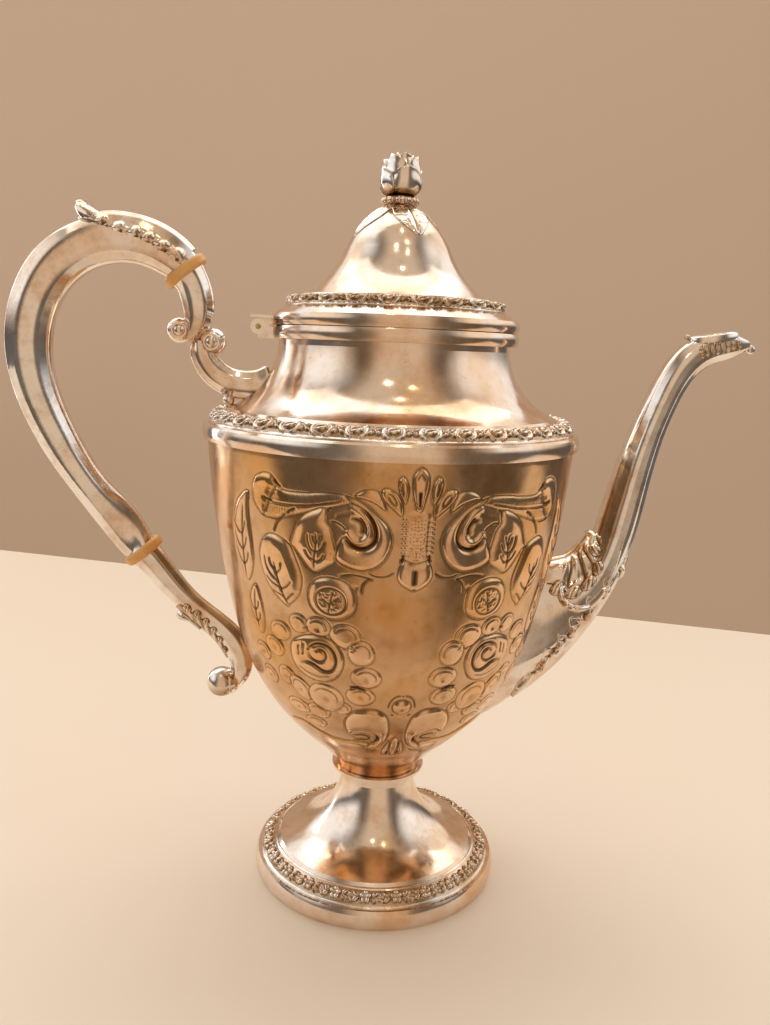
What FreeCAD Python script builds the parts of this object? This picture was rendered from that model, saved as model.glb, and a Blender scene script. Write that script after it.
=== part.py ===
# Silver coffee pot: turned foot and bowl, swan-neck spout, scroll handle, hinged lid with a bud finial.
# The pot's axis is Z, the table is z = 0 and the spout points to +X. All sizes are in millimetres.
import FreeCAD
import Part
import Sketcher
import math
import os

V = FreeCAD.Vector
X_AXIS = V(1, 0, 0)
Y_AXIS = V(0, 1, 0)
Z_AXIS = V(0, 0, 1)

SIZES = {
    # Foot: a heavy rim, a garland on the slope above it, a trumpet and a stem
    "foot_radius": 43.4,
    "rim_height": 7.0,
    "rim_width": 4.8,
    "rim_roll_arc": 7.0,
    "foot_edge": 1.1,
    "foot_wall": 1.2,
    "foot_garland_width": 6.0,
    "foot_garland_rise": 4.2,
    "foot_garland_arc": 6.2,
    "foot_step": 1.0,
    "foot_rise": 30.5,
    "foot_flare_arc": 27.0,
    "stem_radius": 13.3,
    "stem_length": 2.5,
    # Collar between stem and bowl
    "collar_radius": 16.8,
    "collar_thickness": 2.5,
    "collar_flare": 1.6,
    "collar_arc": 5.0,
    "spigot_length": 4.0,
    "spigot_clearance": 0.05,
    # Bowl, from its foot up: a flare, the belly, a long side and a straight band
    "bowl_wall": 1.1,
    "bowl_floor": 1.4,
    "bowl_foot_radius": 15.0,
    "bowl_foot_height": 1.5,
    "bowl_flare_radius": 26.0,
    "bowl_flare_height": 13.2,
    "bowl_flare_arc": 79.0,
    "bowl_belly_radius": 51.9,
    "bowl_belly_height": 55.0,
    "bowl_belly_arc": 84.0,
    "bowl_radius": 62.2,
    "bowl_side_arc": 331.0,
    "bowl_height": 123.0,
    "bowl_band": 5.0,
    "chasing_height": 1.2,
    "chasing_turn": 0.7,
    # Shoulder
    "moulding_width": 1.4,
    "moulding_drop": 3.6,
    "moulding_chamfer": 0.7,
    "moulding_arc": 6.0,
    "skirt_edge": 1.6,
    "shoulder_garland_width": 6.2,
    "shoulder_garland_rise": 4.0,
    "shoulder_garland_arc": 5.6,
    # Neck
    "neck_wall": 1.2,
    "neck_step": 0.7,
    "neck_radius": 39.1,
    "neck_arc": 25.0,
    "neck_height": 29.3,
    "neck_straight": 1.8,
    "neck_rim_radius": 41.3,
    "neck_rim_height": 4.1,
    "neck_rim_arc": 4.0,
    # Lid
    "lid_gap": 0.3,
    "lid_radius": 41.3,
    "lid_edge": 1.3,
    "lid_edge_height": 3.7,
    "lid_edge_arc": 3.6,
    "lid_rim_height": 6.3,
    "lid_top_thickness": 3.0,
    "lid_garland_width": 3.0,
    "lid_garland_height": 3.8,
    "lid_garland_arc": 4.4,
    "bezel_clearance": 0.5,
    "bezel_wall": 1.0,
    "bezel_depth": 6.0,
    "dome_wall": 1.1,
    "dome_radius": 34.0,
    "dome_edge": 2.4,
    "dome_flare_arc": 32.0,
    "dome_waist_radius": 17.9,
    "dome_waist_height": 18.9,
    "dome_crown_arc": 28.2,
    "dome_crown_radius": 5.0,
    "dome_height": 33.0,
    # Garland ornament: flower bosses with leaves between them
    "flower_length": 2.7,
    "flower_breadth": 1.9,
    "flower_lift": 1.1,
    "flower_relief": 1.1,
    "bud_leaf_length": 2.3,
    "bud_leaf_breadth": 1.0,
    "bud_leaf_relief": 0.9,
    "foot_flowers": 24,
    "shoulder_flowers": 36,
    "lid_flowers": 22,
    # Finial
    "finial_leaf_reach": 15.5,
    "finial_leaf_breadth": 4.4,
    "finial_leaf_widest": 0.55,
    "finial_leaf_thickness": 0.8,
    "finial_leaf_turn": 16.0,
    "finial_collar_radius": 5.2,
    "finial_collar_height": 2.6,
    "finial_collar_arc": 1.7,
    "bead_radius": 1.2,
    "bead_count": 14,
    "bud_base_radius": 4.6,
    "bud_radius": 6.4,
    "bud_belly_height": 5.6,
    "bud_tip_radius": 3.3,
    "bud_tip_height": 13.6,
    "bud_height": 14.6,
    "bud_lower_arc": 9.0,
    "bud_upper_arc": 12.0,
    "petal_length": 5.6,
    "petal_breadth": 3.4,
    "petal_relief": 1.3,
    "petal_count": 6,
    "stud_radius": 1.5,
    "stud_clearance": 0.1,
    "stud_length": 6.0,
    "washer_radius": 3.5,
    "washer_thickness": 0.8,
    "nut_radius": 3.2,
    "nut_height": 2.4,
    # Lid hinge
    "hinge_offset": 4.6,
    "hinge_drop": 0.6,
    "hinge_width": 16.0,
    "knuckle_radius": 2.5,
    "knuckle_width": 5.4,
    "knuckle_gap": 0.3,
    "hinge_leaf_thickness": 1.0,
    "hinge_clearance": 1.2,
    "pin_radius": 0.9,
    "pin_clearance": 0.05,
    # Spout
    "spout_wall": 1.0,
    "spout_root_breadth": 27.0,
    "spout_tip_breadth": 7.5,
    "mouth_length": 14.0,
    "mouth_breadth": 6.2,
    "mouth_depth": 5.0,
    "lip_width": 1.3,
    "lip_height": 0.9,
    "beak_length": 4.0,
    "beak_radius": 1.6,
    "leaf_thickness": 1.4,
    "leaf_roll_radius": 2.2,
    "leaf_roll_width": 9.0,
    "roll_rounding": 0.7,
    "spout_lobe": 1.6,
    "handle_lobe": 1.2,
    "crest_leaf_start": 1.0,
    "crest_leaf_share": 0.6,
    "keel_leaf_start": 0.5,
    "keel_leaf_share": 0.3,
    "spout_leaf_end": 2.9,
    "thumb_leaf_span": 2.6,
    "lower_leaf_start": 0.8,
    "lower_leaf_end": 1.4,
    "strainer_height": 52.0,
    "strainer_length": 26.0,
    "strainer_breadth": 13.0,
    "strainer_overlap": 3.0,
    "strainer_thickness": 0.9,
    "strainer_hole_radius": 1.2,
    "strainer_pitch": 4.2,
    # Handle
    "handle_wall": 1.3,
    "handle_slimness": 0.86,
    "handle_joint_height": 40.0,
    "insulator_thickness": 3.6,
    "insulator_edge": 1.9,
    "insulator_round": 1.2,
    "insulator_spigot": 7.0,
    "cross_pin_radius": 0.8,
    "upper_volute_radius": 4.2,
    "upper_volute_out": 32.4,
    "upper_volute_up": 30.6,
    "neck_volute_radius": 4.4,
    "neck_volute_out": 21.5,
    "neck_volute_up": 27.4,
    "lower_volute_radius": 4.7,
    "lower_volute_out": 8.8,
    "lower_volute_up": 31.4,
    "drop_out": 16.3,
    "drop_height": 12.0,
    "drop_bead_share": 0.55,
    "drop_radius": 1.2,
    "drop_bead_radius": 2.0,
}

# Points that the free curves pass through: out from the wall that carries them, up from the bowl's foot
# (spout, lower handle) or from the bowl's rim (upper handle), and the width there
CURVES = {
    "spout_crest": [(-10.6, 72), (10.4, 72.5), (19.9, 76), (25.7, 88), (32.6, 115), (41.9, 140),
                    (53.9, 156.6), (71.2, 159.8), (75.2, 158.4)],
    "spout_keel": [(-20.6, 16), (9.2, 35.2), (26.8, 57), (39.2, 84.5), (45, 112.5), (52.2, 135.8),
                   (61.4, 148.2), (72.2, 152.4), (75.8, 154.6)],
    "upper_handle": [(30.2, 28.6, 6), (27.2, 32, 8), (26.2, 37, 10), (30.5, 49.5, 12), (39.8, 56.2, 13.6),
                     (55, 58, 15), (69.6, 50.8, 15.4), (80.1, 27, 14.6)],
    "lower_handle": [(65.2, 118.5, 12.6), (37.5, 79.1, 10.4), (19.4, 58.6, 7.5), (4.7, 42, 8.6),
                     (4.3, 35.5, 7.6), (6.6, 31.2, 6)],
    "neck_scroll": [(25.5, 27.5, 6.5), (24.7, 23, 8.6), (22.1, 18.4, 9.2), (16.9, 14.6, 9.4),
                    (9.9, 13.4, 9.8), (1.5, 15, 11)],
}
# Chased forms on one side of the palmette: turn from its middle in degrees, middle as a share of the bowl's height,
# half width in degrees, half height as a share, and lean in degrees
CHASING = {
    "side_leaf": (57.0, 0.748, 4.6, 0.116, 0.0),
    "broad_leaf": (41.6, 0.683, 7.0, 0.091, 12.0),
    "small_leaf": (29.0, 0.772, 6.1, 0.076, 0.0),
    "round_leaf": (24.3, 0.628, 7.0, 0.052, 0.0),
    "scroll_head": (46.2, 0.870, 3.6, 0.052, -10.0),
    "scroll_tail": (33.0, 0.873, 8.5, 0.019, 0.0),
    "volute_side": (10.2, 0.820, 2.6, 0.060, 25.0),
    "volute_foot": (15.8, 0.733, 6.2, 0.025, 0.0),
    "rose": (31.2, 0.455, 9.7, 0.065, 0.0),
    "high_petal": (20.4, 0.530, 5.2, 0.033, 0.0),
    "inner_petal": (14.2, 0.400, 5.2, 0.055, 0.0),
    "under_petal": (29.6, 0.340, 7.6, 0.047, 0.0),
    "outer_petal": (46.6, 0.488, 5.0, 0.036, 0.0),
    "lower_scroll": (14.0, 0.267, 9.4, 0.049, 0.0),
}
PALMETTE = {
    "palm": (0.0, 0.905, 2.1, 0.056, 0.0),
    "palm_drop": (0.0, 0.697, 4.6, 0.037, 0.0),
    "palm_ball": (0.0, 0.327, 4.0, 0.027, 0.0),
}
DOME_DEPTH = 1.3
UPPER_INSULATOR = 3
LOWER_INSULATOR = 1

doc = FreeCAD.newDocument("coffee_pot")
sheet = doc.addObject("Spreadsheet::Sheet", "sizes")
nodes = []


class Size:
    """A length from the sheet: its number, and the expression that gives it."""

    def __init__(self, number, text):
        self.number = number
        self.text = text

    def __add__(self, other):
        other = as_size(other)
        return Size(self.number + other.number, f"({self.text} + {other.text})")

    def __sub__(self, other):
        other = as_size(other)
        return Size(self.number - other.number, f"({self.text} - {other.text})")

    def __mul__(self, factor):
        return Size(self.number * factor, f"({self.text} * {factor})")


def as_size(value):
    if isinstance(value, Size):
        return value
    return Size(float(value), str(value))


class Sizes:
    """The sheet's cells by name."""

    def __getattr__(self, alias):
        return Size(float(sheet.get(alias)), f"sizes.{alias}")


def fill_sheet():
    cells = dict(SIZES)
    for name, points in CURVES.items():
        for index, point in enumerate(points):
            for way, number in zip(("out", "up", "width"), point):
                cells[f"{name}_{way}_{index}"] = number
    for name, form in (CHASING | PALMETTE).items():
        for way, number in zip(("turn", "up", "half_turn", "half_up", "lean"), form):
            cells[f"{name}_{way}"] = number
    for row, (alias, number) in enumerate(cells.items(), start=1):
        sheet.set(f"A{row}", alias.replace("_", " "))
        sheet.set(f"B{row}", str(number))
        sheet.setAlias(f"B{row}", alias)
    doc.recompute()


fill_sheet()
d = Sizes()

# Levels, from the table up
zero = as_size(0)
foot_top = d.rim_height + d.foot_rise
bowl_base = foot_top + d.collar_thickness
bowl_top = bowl_base + d.bowl_height
shoulder_edge = bowl_top + d.skirt_edge
neck_top = bowl_top + d.neck_height
seat = neck_top + d.neck_rim_height
lid_base = seat + d.lid_gap
dome_base = lid_base + d.lid_rim_height
dome_top = dome_base + d.dome_height
collar_base = dome_top + d.finial_leaf_thickness
bud_base = collar_base + d.finial_collar_height


def keep(feature, label):
    """Name a sub-part and put it on the list that is written out."""
    feature.Label = label
    nodes.append(feature)
    return feature


def solid_feature(label, shape):
    """A shape worked out from the sheet, as an object of the document."""
    feature = doc.addObject("Part::Feature", label)
    feature.Shape = shape
    feature.Placement = FreeCAD.Placement()
    return feature


def boolean(kind, label, base, tool):
    feature = doc.addObject(f"Part::{kind}", label)
    feature.Base = base
    feature.Tool = tool
    doc.recompute()
    return feature


def fused(label, pieces):
    feature = doc.addObject("Part::MultiFuse", label)
    feature.Shapes = pieces
    feature.Refine = True
    doc.recompute()
    return feature


def origin_feature(body, role):
    return [feature for feature in body.Origin.OriginFeatures if feature.Role == role][0]


# Turned pieces

def arc_centre(start, end, radius):
    """Centre of the short arc between two points: left of the way for a positive radius, else right."""
    chord = end - start
    left = V(-chord.y, chord.x, 0).normalize()
    rise = math.sqrt(radius ** 2 - (chord.Length / 2) ** 2)
    return (start + end) * 0.5 + left * math.copysign(rise, radius)


def bind(sketch, constraint, name, text):
    index = sketch.addConstraint(constraint)
    sketch.renameConstraint(index, name)
    sketch.setExpression(f"Constraints.{name}", text)


def place_point(sketch, geometry, end, name, radius, height):
    """Tie one point of an outline to its radius and height in the sheet."""
    if radius.number == 0:
        sketch.addConstraint(Sketcher.Constraint("PointOnObject", geometry, end, -2))
    else:
        across = Sketcher.Constraint("DistanceX", -1, 1, geometry, end, radius.number)
        bind(sketch, across, f"radius_{name}", radius.text)
    if height.number == 0:
        sketch.addConstraint(Sketcher.Constraint("PointOnObject", geometry, end, -1))
    else:
        up = Sketcher.Constraint("DistanceY", -1, 1, geometry, end, height.number)
        bind(sketch, up, f"height_{name}", height.text)


def draw_side(sketch, start, end, arc):
    """Add a line or an arc, and say which of its ends lies at the start and which at the end."""
    if not arc:
        sketch.addGeometry(Part.LineSegment(start, end))
        return 1, 2
    turn = arc[0].number
    centre = arc_centre(start, end, turn)
    low, high = (start, end) if turn > 0 else (end, start)
    angles = [math.atan2(point.y - centre.y, point.x - centre.x) for point in (low, high)]
    sketch.addGeometry(Part.ArcOfCircle(Part.Circle(centre, Z_AXIS, abs(turn)), angles[0], angles[1]))
    return (1, 2) if turn > 0 else (2, 1)


def draw_outline(sketch, outline):
    """Closed outline of (radius, height) points. A third value is the radius of the arc that ends there."""
    points = [V(point[0].number, point[1].number, 0) for point in outline]
    count = len(points)
    ends = []
    for index in range(count):
        following = (index + 1) % count
        ends.append(draw_side(sketch, points[index], points[following], outline[following][2:]))
    for index in range(count):
        following = (index + 1) % count
        joint = Sketcher.Constraint("Coincident", index, ends[index][1], following, ends[following][0])
        sketch.addConstraint(joint)
        place_point(sketch, index, ends[index][0], str(index), outline[index][0], outline[index][1])
        arc = outline[following][2:]
        if arc:
            turn = arc[0] if arc[0].number > 0 else arc[0] * -1
            bind(sketch, Sketcher.Constraint("Radius", index, turn.number), f"arc_{index}", turn.text)


def turned(label, outline):
    """A body turned about Z from one outline."""
    body = doc.addObject("PartDesign::Body", label)
    sketch = body.newObject("Sketcher::SketchObject", f"{label}_outline")
    sketch.AttachmentSupport = [(origin_feature(body, "XZ_Plane"), "")]
    sketch.MapMode = "FlatFace"
    draw_outline(sketch, outline)
    turn = body.newObject("PartDesign::Revolution", f"{label}_turn")
    turn.Profile = sketch
    turn.ReferenceAxis = (sketch, ["V_Axis"])
    turn.Angle = 360
    body.Tip = turn
    doc.recompute()
    return body


def ring_of_bosses(body, name, count, place, tilt, radii, turn=0.0):
    """Oval bosses round a turned body: radii along the tilted normal, across the band and round it."""
    boss = body.newObject("PartDesign::AdditiveEllipsoid", f"{body.Name}_{name}")
    boss.MapMode = "Deactivated"
    for prop, radius in zip(("Radius1", "Radius2", "Radius3"), radii):
        boss.setExpression(prop, radius.text)
    rotation = FreeCAD.Rotation(Z_AXIS, turn).multiply(FreeCAD.Rotation(Y_AXIS, tilt))
    boss.Placement = FreeCAD.Placement(V(0, 0, 0), rotation)
    radius, height = place
    boss.setExpression("Placement.Base.x", f"{radius.text} * cos({turn} deg)")
    boss.setExpression("Placement.Base.y", f"{radius.text} * sin({turn} deg)")
    boss.setExpression("Placement.Base.z", height.text)
    pattern = body.newObject("PartDesign::PolarPattern", f"{body.Name}_{name}_ring")
    pattern.Originals = [boss]
    pattern.Axis = (origin_feature(body, "Z_Axis"), [""])
    pattern.Angle = 360
    pattern.setExpression("Occurrences", count.text)
    body.Tip = pattern
    doc.recompute()


def garland(label, inner, outer, arc, count):
    """A half-round band on a slope, with a ring of flowers and a leaf between each two."""
    body = turned(label, [inner + (arc,), outer])
    middle = ((inner[0] + outer[0]) * 0.5, (inner[1] + outer[1]) * 0.5)
    run = outer[0].number - inner[0].number
    rise = inner[1].number - outer[1].number
    tilt = math.degrees(math.atan2(rise, run))
    chord = math.hypot(run, rise)
    out, up = d.flower_lift.number * rise / chord, d.flower_lift.number * run / chord
    flower = (d.flower_relief, d.flower_breadth, d.flower_length)
    leaf = (d.bud_leaf_relief, d.bud_leaf_breadth, d.bud_leaf_length)
    for name, radii, turn in (("flowers", flower, 0.0), ("leaves", leaf, 180.0 / count.number)):
        place = (middle[0] + radii[0] * out, middle[1] + radii[0] * up)
        ring_of_bosses(body, name, count, place, tilt, radii, turn)
    return keep(body, label)


def radius_at(outline, height):
    """Radius of a turned outline's outer side at a height."""
    for start, end in zip(outline, outline[1:]):
        low = V(start[0].number, start[1].number, 0)
        high = V(end[0].number, end[1].number, 0)
        if not low.y <= height <= high.y or low.y == high.y:
            continue
        if len(end) == 2:
            return low.x + (high.x - low.x) * (height - low.y) / (high.y - low.y)
        turn = end[2].number
        centre = arc_centre(low, high, turn)
        return centre.x + math.copysign(math.sqrt(turn ** 2 - (height - centre.y) ** 2), turn)
    raise ValueError(f"no outline at height {height}")


def moved(outline, across, up):
    """The same outline point by point, shifted by two sizes."""
    return [(point[0] + across, point[1] + up) + point[2:] for point in outline]


def backwards(outline):
    """The same curve drawn from its other end, so that each arc bends the other way."""
    arcs = [point[2:] for point in outline]
    drawn = [outline[-1][:2]]
    for index in range(len(outline) - 2, -1, -1):
        arc = arcs[index + 1]
        drawn.append(outline[index][:2] + tuple(turn * -1 for turn in arc))
    return drawn


def make_foot():
    outer = (d.foot_radius - d.foot_edge, d.rim_height)
    inner = (outer[0] - d.foot_garland_width, d.rim_height + d.foot_garland_rise)
    bore = d.foot_radius - d.rim_width
    rim = [(bore, zero),
           (d.foot_radius, zero),
           (d.foot_radius, d.rim_height, d.rim_roll_arc),
           (bore, d.rim_height)]
    keep(turned("foot_rim", rim), "foot_rim")
    trumpet = [(inner[0] - d.foot_step, inner[1] + d.foot_step),
               (d.stem_radius, foot_top - d.stem_length, d.foot_flare_arc * -1)]
    lining = backwards(moved(trumpet, d.foot_wall * -1, d.foot_wall * -1))
    stem = [(d.stem_radius, foot_top), (d.stem_radius - d.foot_wall, foot_top)]
    hem = (bore + d.foot_wall, d.rim_height)
    keep(turned("foot", [outer, inner] + trumpet + stem + lining + [hem]), "foot")
    garland("foot_garland", inner, outer, d.foot_garland_arc, d.foot_flowers)
    spigot = d.stem_radius - d.foot_wall - d.spigot_clearance
    collar = [(zero, foot_top - d.spigot_length),
              (spigot, foot_top - d.spigot_length),
              (spigot, foot_top),
              (d.stem_radius, foot_top),
              (d.collar_radius, foot_top + d.collar_flare, d.collar_arc * -1),
              (d.collar_radius, bowl_base),
              (zero, bowl_base)]
    keep(turned("stem_collar", collar), "stem_collar")


def bowl_side():
    """Outer side of the bowl, from its foot to its rim."""
    return [(d.bowl_foot_radius, bowl_base),
            (d.bowl_foot_radius, bowl_base + d.bowl_foot_height),
            (d.bowl_flare_radius, bowl_base + d.bowl_flare_height, d.bowl_flare_arc * -1),
            (d.bowl_belly_radius, bowl_base + d.bowl_belly_height, d.bowl_belly_arc),
            (d.bowl_radius, bowl_top - d.bowl_band, d.bowl_side_arc),
            (d.bowl_radius, bowl_top)]


def bowl_inside(label, wall):
    """Solid that fills the bowl, a wall's thickness in from its side."""
    side = moved(bowl_side(), wall * -1, zero)[1:]
    floor = bowl_base + d.bowl_floor
    return turned(label, [(zero, floor), (side[0][0], floor)] + side + [(zero, bowl_top)])


def oval_prism(length, breadth, height, depth):
    """Oval prism along +X from the axis, centred at a height."""
    oval = Part.Ellipse(V(0, 0, height), length / 2, breadth / 2)
    face = Part.Face(Part.Wire(oval.toShape()))
    face.rotate(V(0, 0, height), Y_AXIS, -90)
    return face.extrude(X_AXIS * depth)


def strainer_holes(height):
    """Rows of holes, each second row shifted half a pitch, kept inside the opening."""
    pitch = d.strainer_pitch.number
    row_pitch = pitch * math.sqrt(3) / 2
    room_up = d.strainer_length.number / 2 - d.strainer_hole_radius.number
    room_across = d.strainer_breadth.number / 2 - d.strainer_hole_radius.number
    rows = int(room_up / row_pitch)
    columns = int(room_across / pitch) + 1
    holes = []
    for row in range(-rows, rows + 1):
        shift = pitch / 2 if row % 2 else 0.0
        for column in range(-columns, columns + 1):
            across = column * pitch + shift
            up = row * row_pitch
            if (up / room_up) ** 2 + (across / room_across) ** 2 <= 1:
                centre = V(0, across, height + up)
                hole = Part.makeCylinder(d.strainer_hole_radius.number, d.bowl_radius.number, centre, X_AXIS)
                holes.append(hole)
    return holes


def chased_dome(name, middle, side):
    """Low dome that rises from the bowl's wall, turned to one side of the palmette's middle."""
    turn, up, half_turn, half_up, lean = (sheet.get(f"{name}_{way}")
                                          for way in ("turn", "up", "half_turn", "half_up", "lean"))
    height = bowl_base.number + up * d.bowl_height.number
    reach = half_up * d.bowl_height.number
    radius = radius_at(bowl_side(), height)
    above = radius_at(bowl_side(), height + reach)
    below = radius_at(bowl_side(), height - reach)
    slope = (above - below) / (2 * reach)
    azimuth = math.radians(middle + side * turn)
    outward = V(math.cos(azimuth), math.sin(azimuth), 0)
    normal = (outward - Z_AXIS * slope).normalize()
    along = (outward * slope + Z_AXIS).normalize()
    across = V(-outward.y, outward.x, 0) * side
    half_width = math.radians(half_turn) * radius
    half_height = reach * math.hypot(1, slope)
    rise = d.chasing_height.number
    # How far the wall falls away under the form's edges, and the ellipsoid that meets it there
    falls = (half_width ** 2 / (2 * radius), max(0.0, radius - (above + below) / 2))
    depth = DOME_DEPTH * (rise + max(falls))
    wide, high = (half / math.sqrt(1 - ((depth - rise - fall) / depth) ** 2)
                  for half, fall in zip((half_width, half_height), falls))
    lean = math.radians(lean)
    first = (across * math.cos(lean) - along * math.sin(lean)) * wide
    second = (across * math.sin(lean) + along * math.cos(lean)) * high
    third = normal * depth
    centre = outward * radius + Z_AXIS * height + normal * (rise - depth)
    frame = FreeCAD.Matrix(first.x, second.x, third.x, centre.x, first.y, second.y, third.y, centre.y,
                           first.z, second.z, third.z, centre.z, 0, 0, 0, 1)
    return Part.makeSphere(1).transformGeometry(frame)


def chased_forms():
    """Domes of the chased forms: both sides of the palmette, on the front and on the back."""
    domes = []
    for middle in (d.chasing_turn.number - 90, d.chasing_turn.number + 90):
        domes += [chased_dome(name, middle, 1) for name in PALMETTE]
        domes += [chased_dome(name, middle, side) for name in CHASING for side in (-1, 1)]
    return domes


def make_bowl():
    envelope = turned("bowl_envelope", [(zero, bowl_base)] + bowl_side() + [(zero, bowl_top)])
    inside = bowl_inside("bowl_inside", d.bowl_wall)
    chased = solid_feature("bowl_chased", envelope.Shape.multiFuse(chased_forms()))
    height = (bowl_base + d.strainer_height).number
    reach = d.bowl_radius.number
    opening = solid_feature("spout_opening", oval_prism(d.strainer_length.number, d.strainer_breadth.number,
                                                        height, reach))
    shell = boolean("Cut", "bowl_shell", chased, inside)
    keep(boolean("Cut", "bowl_cut", shell, opening), "bowl")
    core = bowl_inside("strainer_core", d.bowl_wall + d.strainer_thickness)
    lining = boolean("Cut", "strainer_lining", inside, core)
    overlap = d.strainer_overlap.number * 2
    patch = solid_feature("strainer_patch", oval_prism(d.strainer_length.number + overlap,
                                                       d.strainer_breadth.number + overlap, height, reach))
    plate = boolean("Common", "strainer_plate", lining, patch)
    holes = solid_feature("strainer_holes", Part.makeCompound(strainer_holes(height)))
    keep(boolean("Cut", "strainer_cut", plate, holes), "spout_strainer")
    return envelope


def neck_rim_edge():
    return [(d.neck_rim_radius, neck_top), (d.neck_rim_radius, seat, d.neck_rim_arc)]


def make_shoulder():
    outer = (d.bowl_radius, shoulder_edge)
    inner = (d.bowl_radius - d.shoulder_garland_width, shoulder_edge + d.shoulder_garland_rise)
    flare = [(inner[0] - d.neck_step, inner[1] + d.neck_step),
             (d.neck_radius, neck_top - d.neck_straight, d.neck_arc * -1)]
    skirt = [(d.bowl_radius, bowl_top), outer, inner] + flare + [(d.neck_radius, neck_top)]
    lining = backwards(moved(flare, d.neck_wall * -1, d.neck_wall * -1))
    bowl_bore = d.bowl_radius - d.bowl_wall
    hem = [(bowl_bore, shoulder_edge - d.neck_wall), (bowl_bore, bowl_top)]
    keep(turned("neck", skirt + [(d.neck_radius - d.neck_wall, neck_top)] + lining + hem), "neck")
    band = garland("shoulder_garland", inner, outer, d.shoulder_garland_arc, d.shoulder_flowers)
    envelope = turned("neck_envelope", [(zero, bowl_top)] + skirt + [(zero, neck_top)])
    edge = d.bowl_radius + d.moulding_width
    low = bowl_top - d.moulding_drop
    moulding = [(d.bowl_radius, low),
                (edge, low),
                (edge, shoulder_edge - d.moulding_chamfer, d.moulding_arc),
                (edge - d.moulding_chamfer, shoulder_edge),
                (d.bowl_radius, shoulder_edge)]
    keep(turned("shoulder_moulding", moulding), "shoulder_moulding")
    bore = d.neck_radius - d.neck_wall
    keep(turned("neck_rim", [(bore, neck_top)] + neck_rim_edge() + [(bore, seat)]), "neck_rim")
    return envelope, band


# Lid

def lid_rim_edge():
    return [(d.lid_radius, lid_base),
            (d.lid_radius, lid_base + d.lid_edge_height, d.lid_edge_arc),
            (d.dome_radius + d.lid_garland_width, dome_base)]


def make_lid():
    ledge = dome_base - d.lid_top_thickness
    bore = d.lid_radius - d.lid_edge
    shelf = d.dome_radius + d.lid_garland_width
    lip = d.dome_radius - d.dome_wall
    rim = [(bore, lid_base)] + lid_rim_edge() + [(lip, dome_base), (lip, ledge), (bore, ledge)]
    keep(turned("lid_rim", rim), "lid_rim")
    sleeve = d.neck_radius - d.neck_wall - d.bezel_clearance
    bezel = [(sleeve - d.bezel_wall, seat - d.bezel_depth),
             (sleeve, seat - d.bezel_depth),
             (sleeve, ledge),
             (sleeve - d.bezel_wall, ledge)]
    keep(turned("lid_bezel", bezel), "lid_bezel")
    band = turned("lid_garland", [(d.dome_radius, dome_base),
                                  (shelf, dome_base),
                                  (d.dome_radius, dome_base + d.lid_garland_height, d.lid_garland_arc)])
    place = (d.dome_radius + d.lid_garland_width * 0.7, dome_base + d.lid_garland_height * 0.55)
    tilt = math.degrees(math.atan2(d.lid_garland_height.number, d.lid_garland_width.number))
    flower = (d.flower_relief, d.flower_breadth, d.flower_length)
    leaf = (d.bud_leaf_relief, d.bud_leaf_breadth, d.bud_leaf_length)
    ring_of_bosses(band, "flowers", d.lid_flowers, place, tilt, flower)
    ring_of_bosses(band, "leaves", d.lid_flowers, place, tilt, leaf, 180.0 / d.lid_flowers.number)
    keep(band, "lid_garland")


def crown_curve():
    """The dome's upper curve, from its waist to its crown."""
    return [(d.dome_waist_radius, dome_base + d.dome_waist_height),
            (d.dome_crown_radius, dome_top, d.dome_crown_arc)]


def make_dome():
    side = [(d.dome_radius, dome_base + d.dome_edge)] + crown_curve()
    side[1] = side[1] + (d.dome_flare_arc * -1,)
    lining = backwards(moved(side, d.dome_wall * -1, d.dome_wall * -1))
    hole = d.stud_radius + d.stud_clearance
    crown = [(hole, dome_top), (hole, dome_top - d.dome_wall)]
    outline = [(d.dome_radius, dome_base)] + side + crown + lining
    keep(turned("lid_dome", outline + [(d.dome_radius - d.dome_wall, dome_base)]), "lid_dome")


def leaf_prism(turn):
    """Upright prism of a pointed leaf that runs out from the axis."""
    reach = d.finial_leaf_reach.number
    half = d.finial_leaf_breadth.number
    widest = reach * d.finial_leaf_widest.number
    sides = [Part.Arc(V(0, 0, 0), V(widest, half * way, 0), V(reach, 0, 0)).toShape() for way in (1, -1)]
    face = Part.Face(Part.Wire(sides))
    prism = face.extrude(Z_AXIS * (bud_base.number * 2))
    prism.rotate(V(0, 0, 0), Z_AXIS, turn)
    return prism


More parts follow.
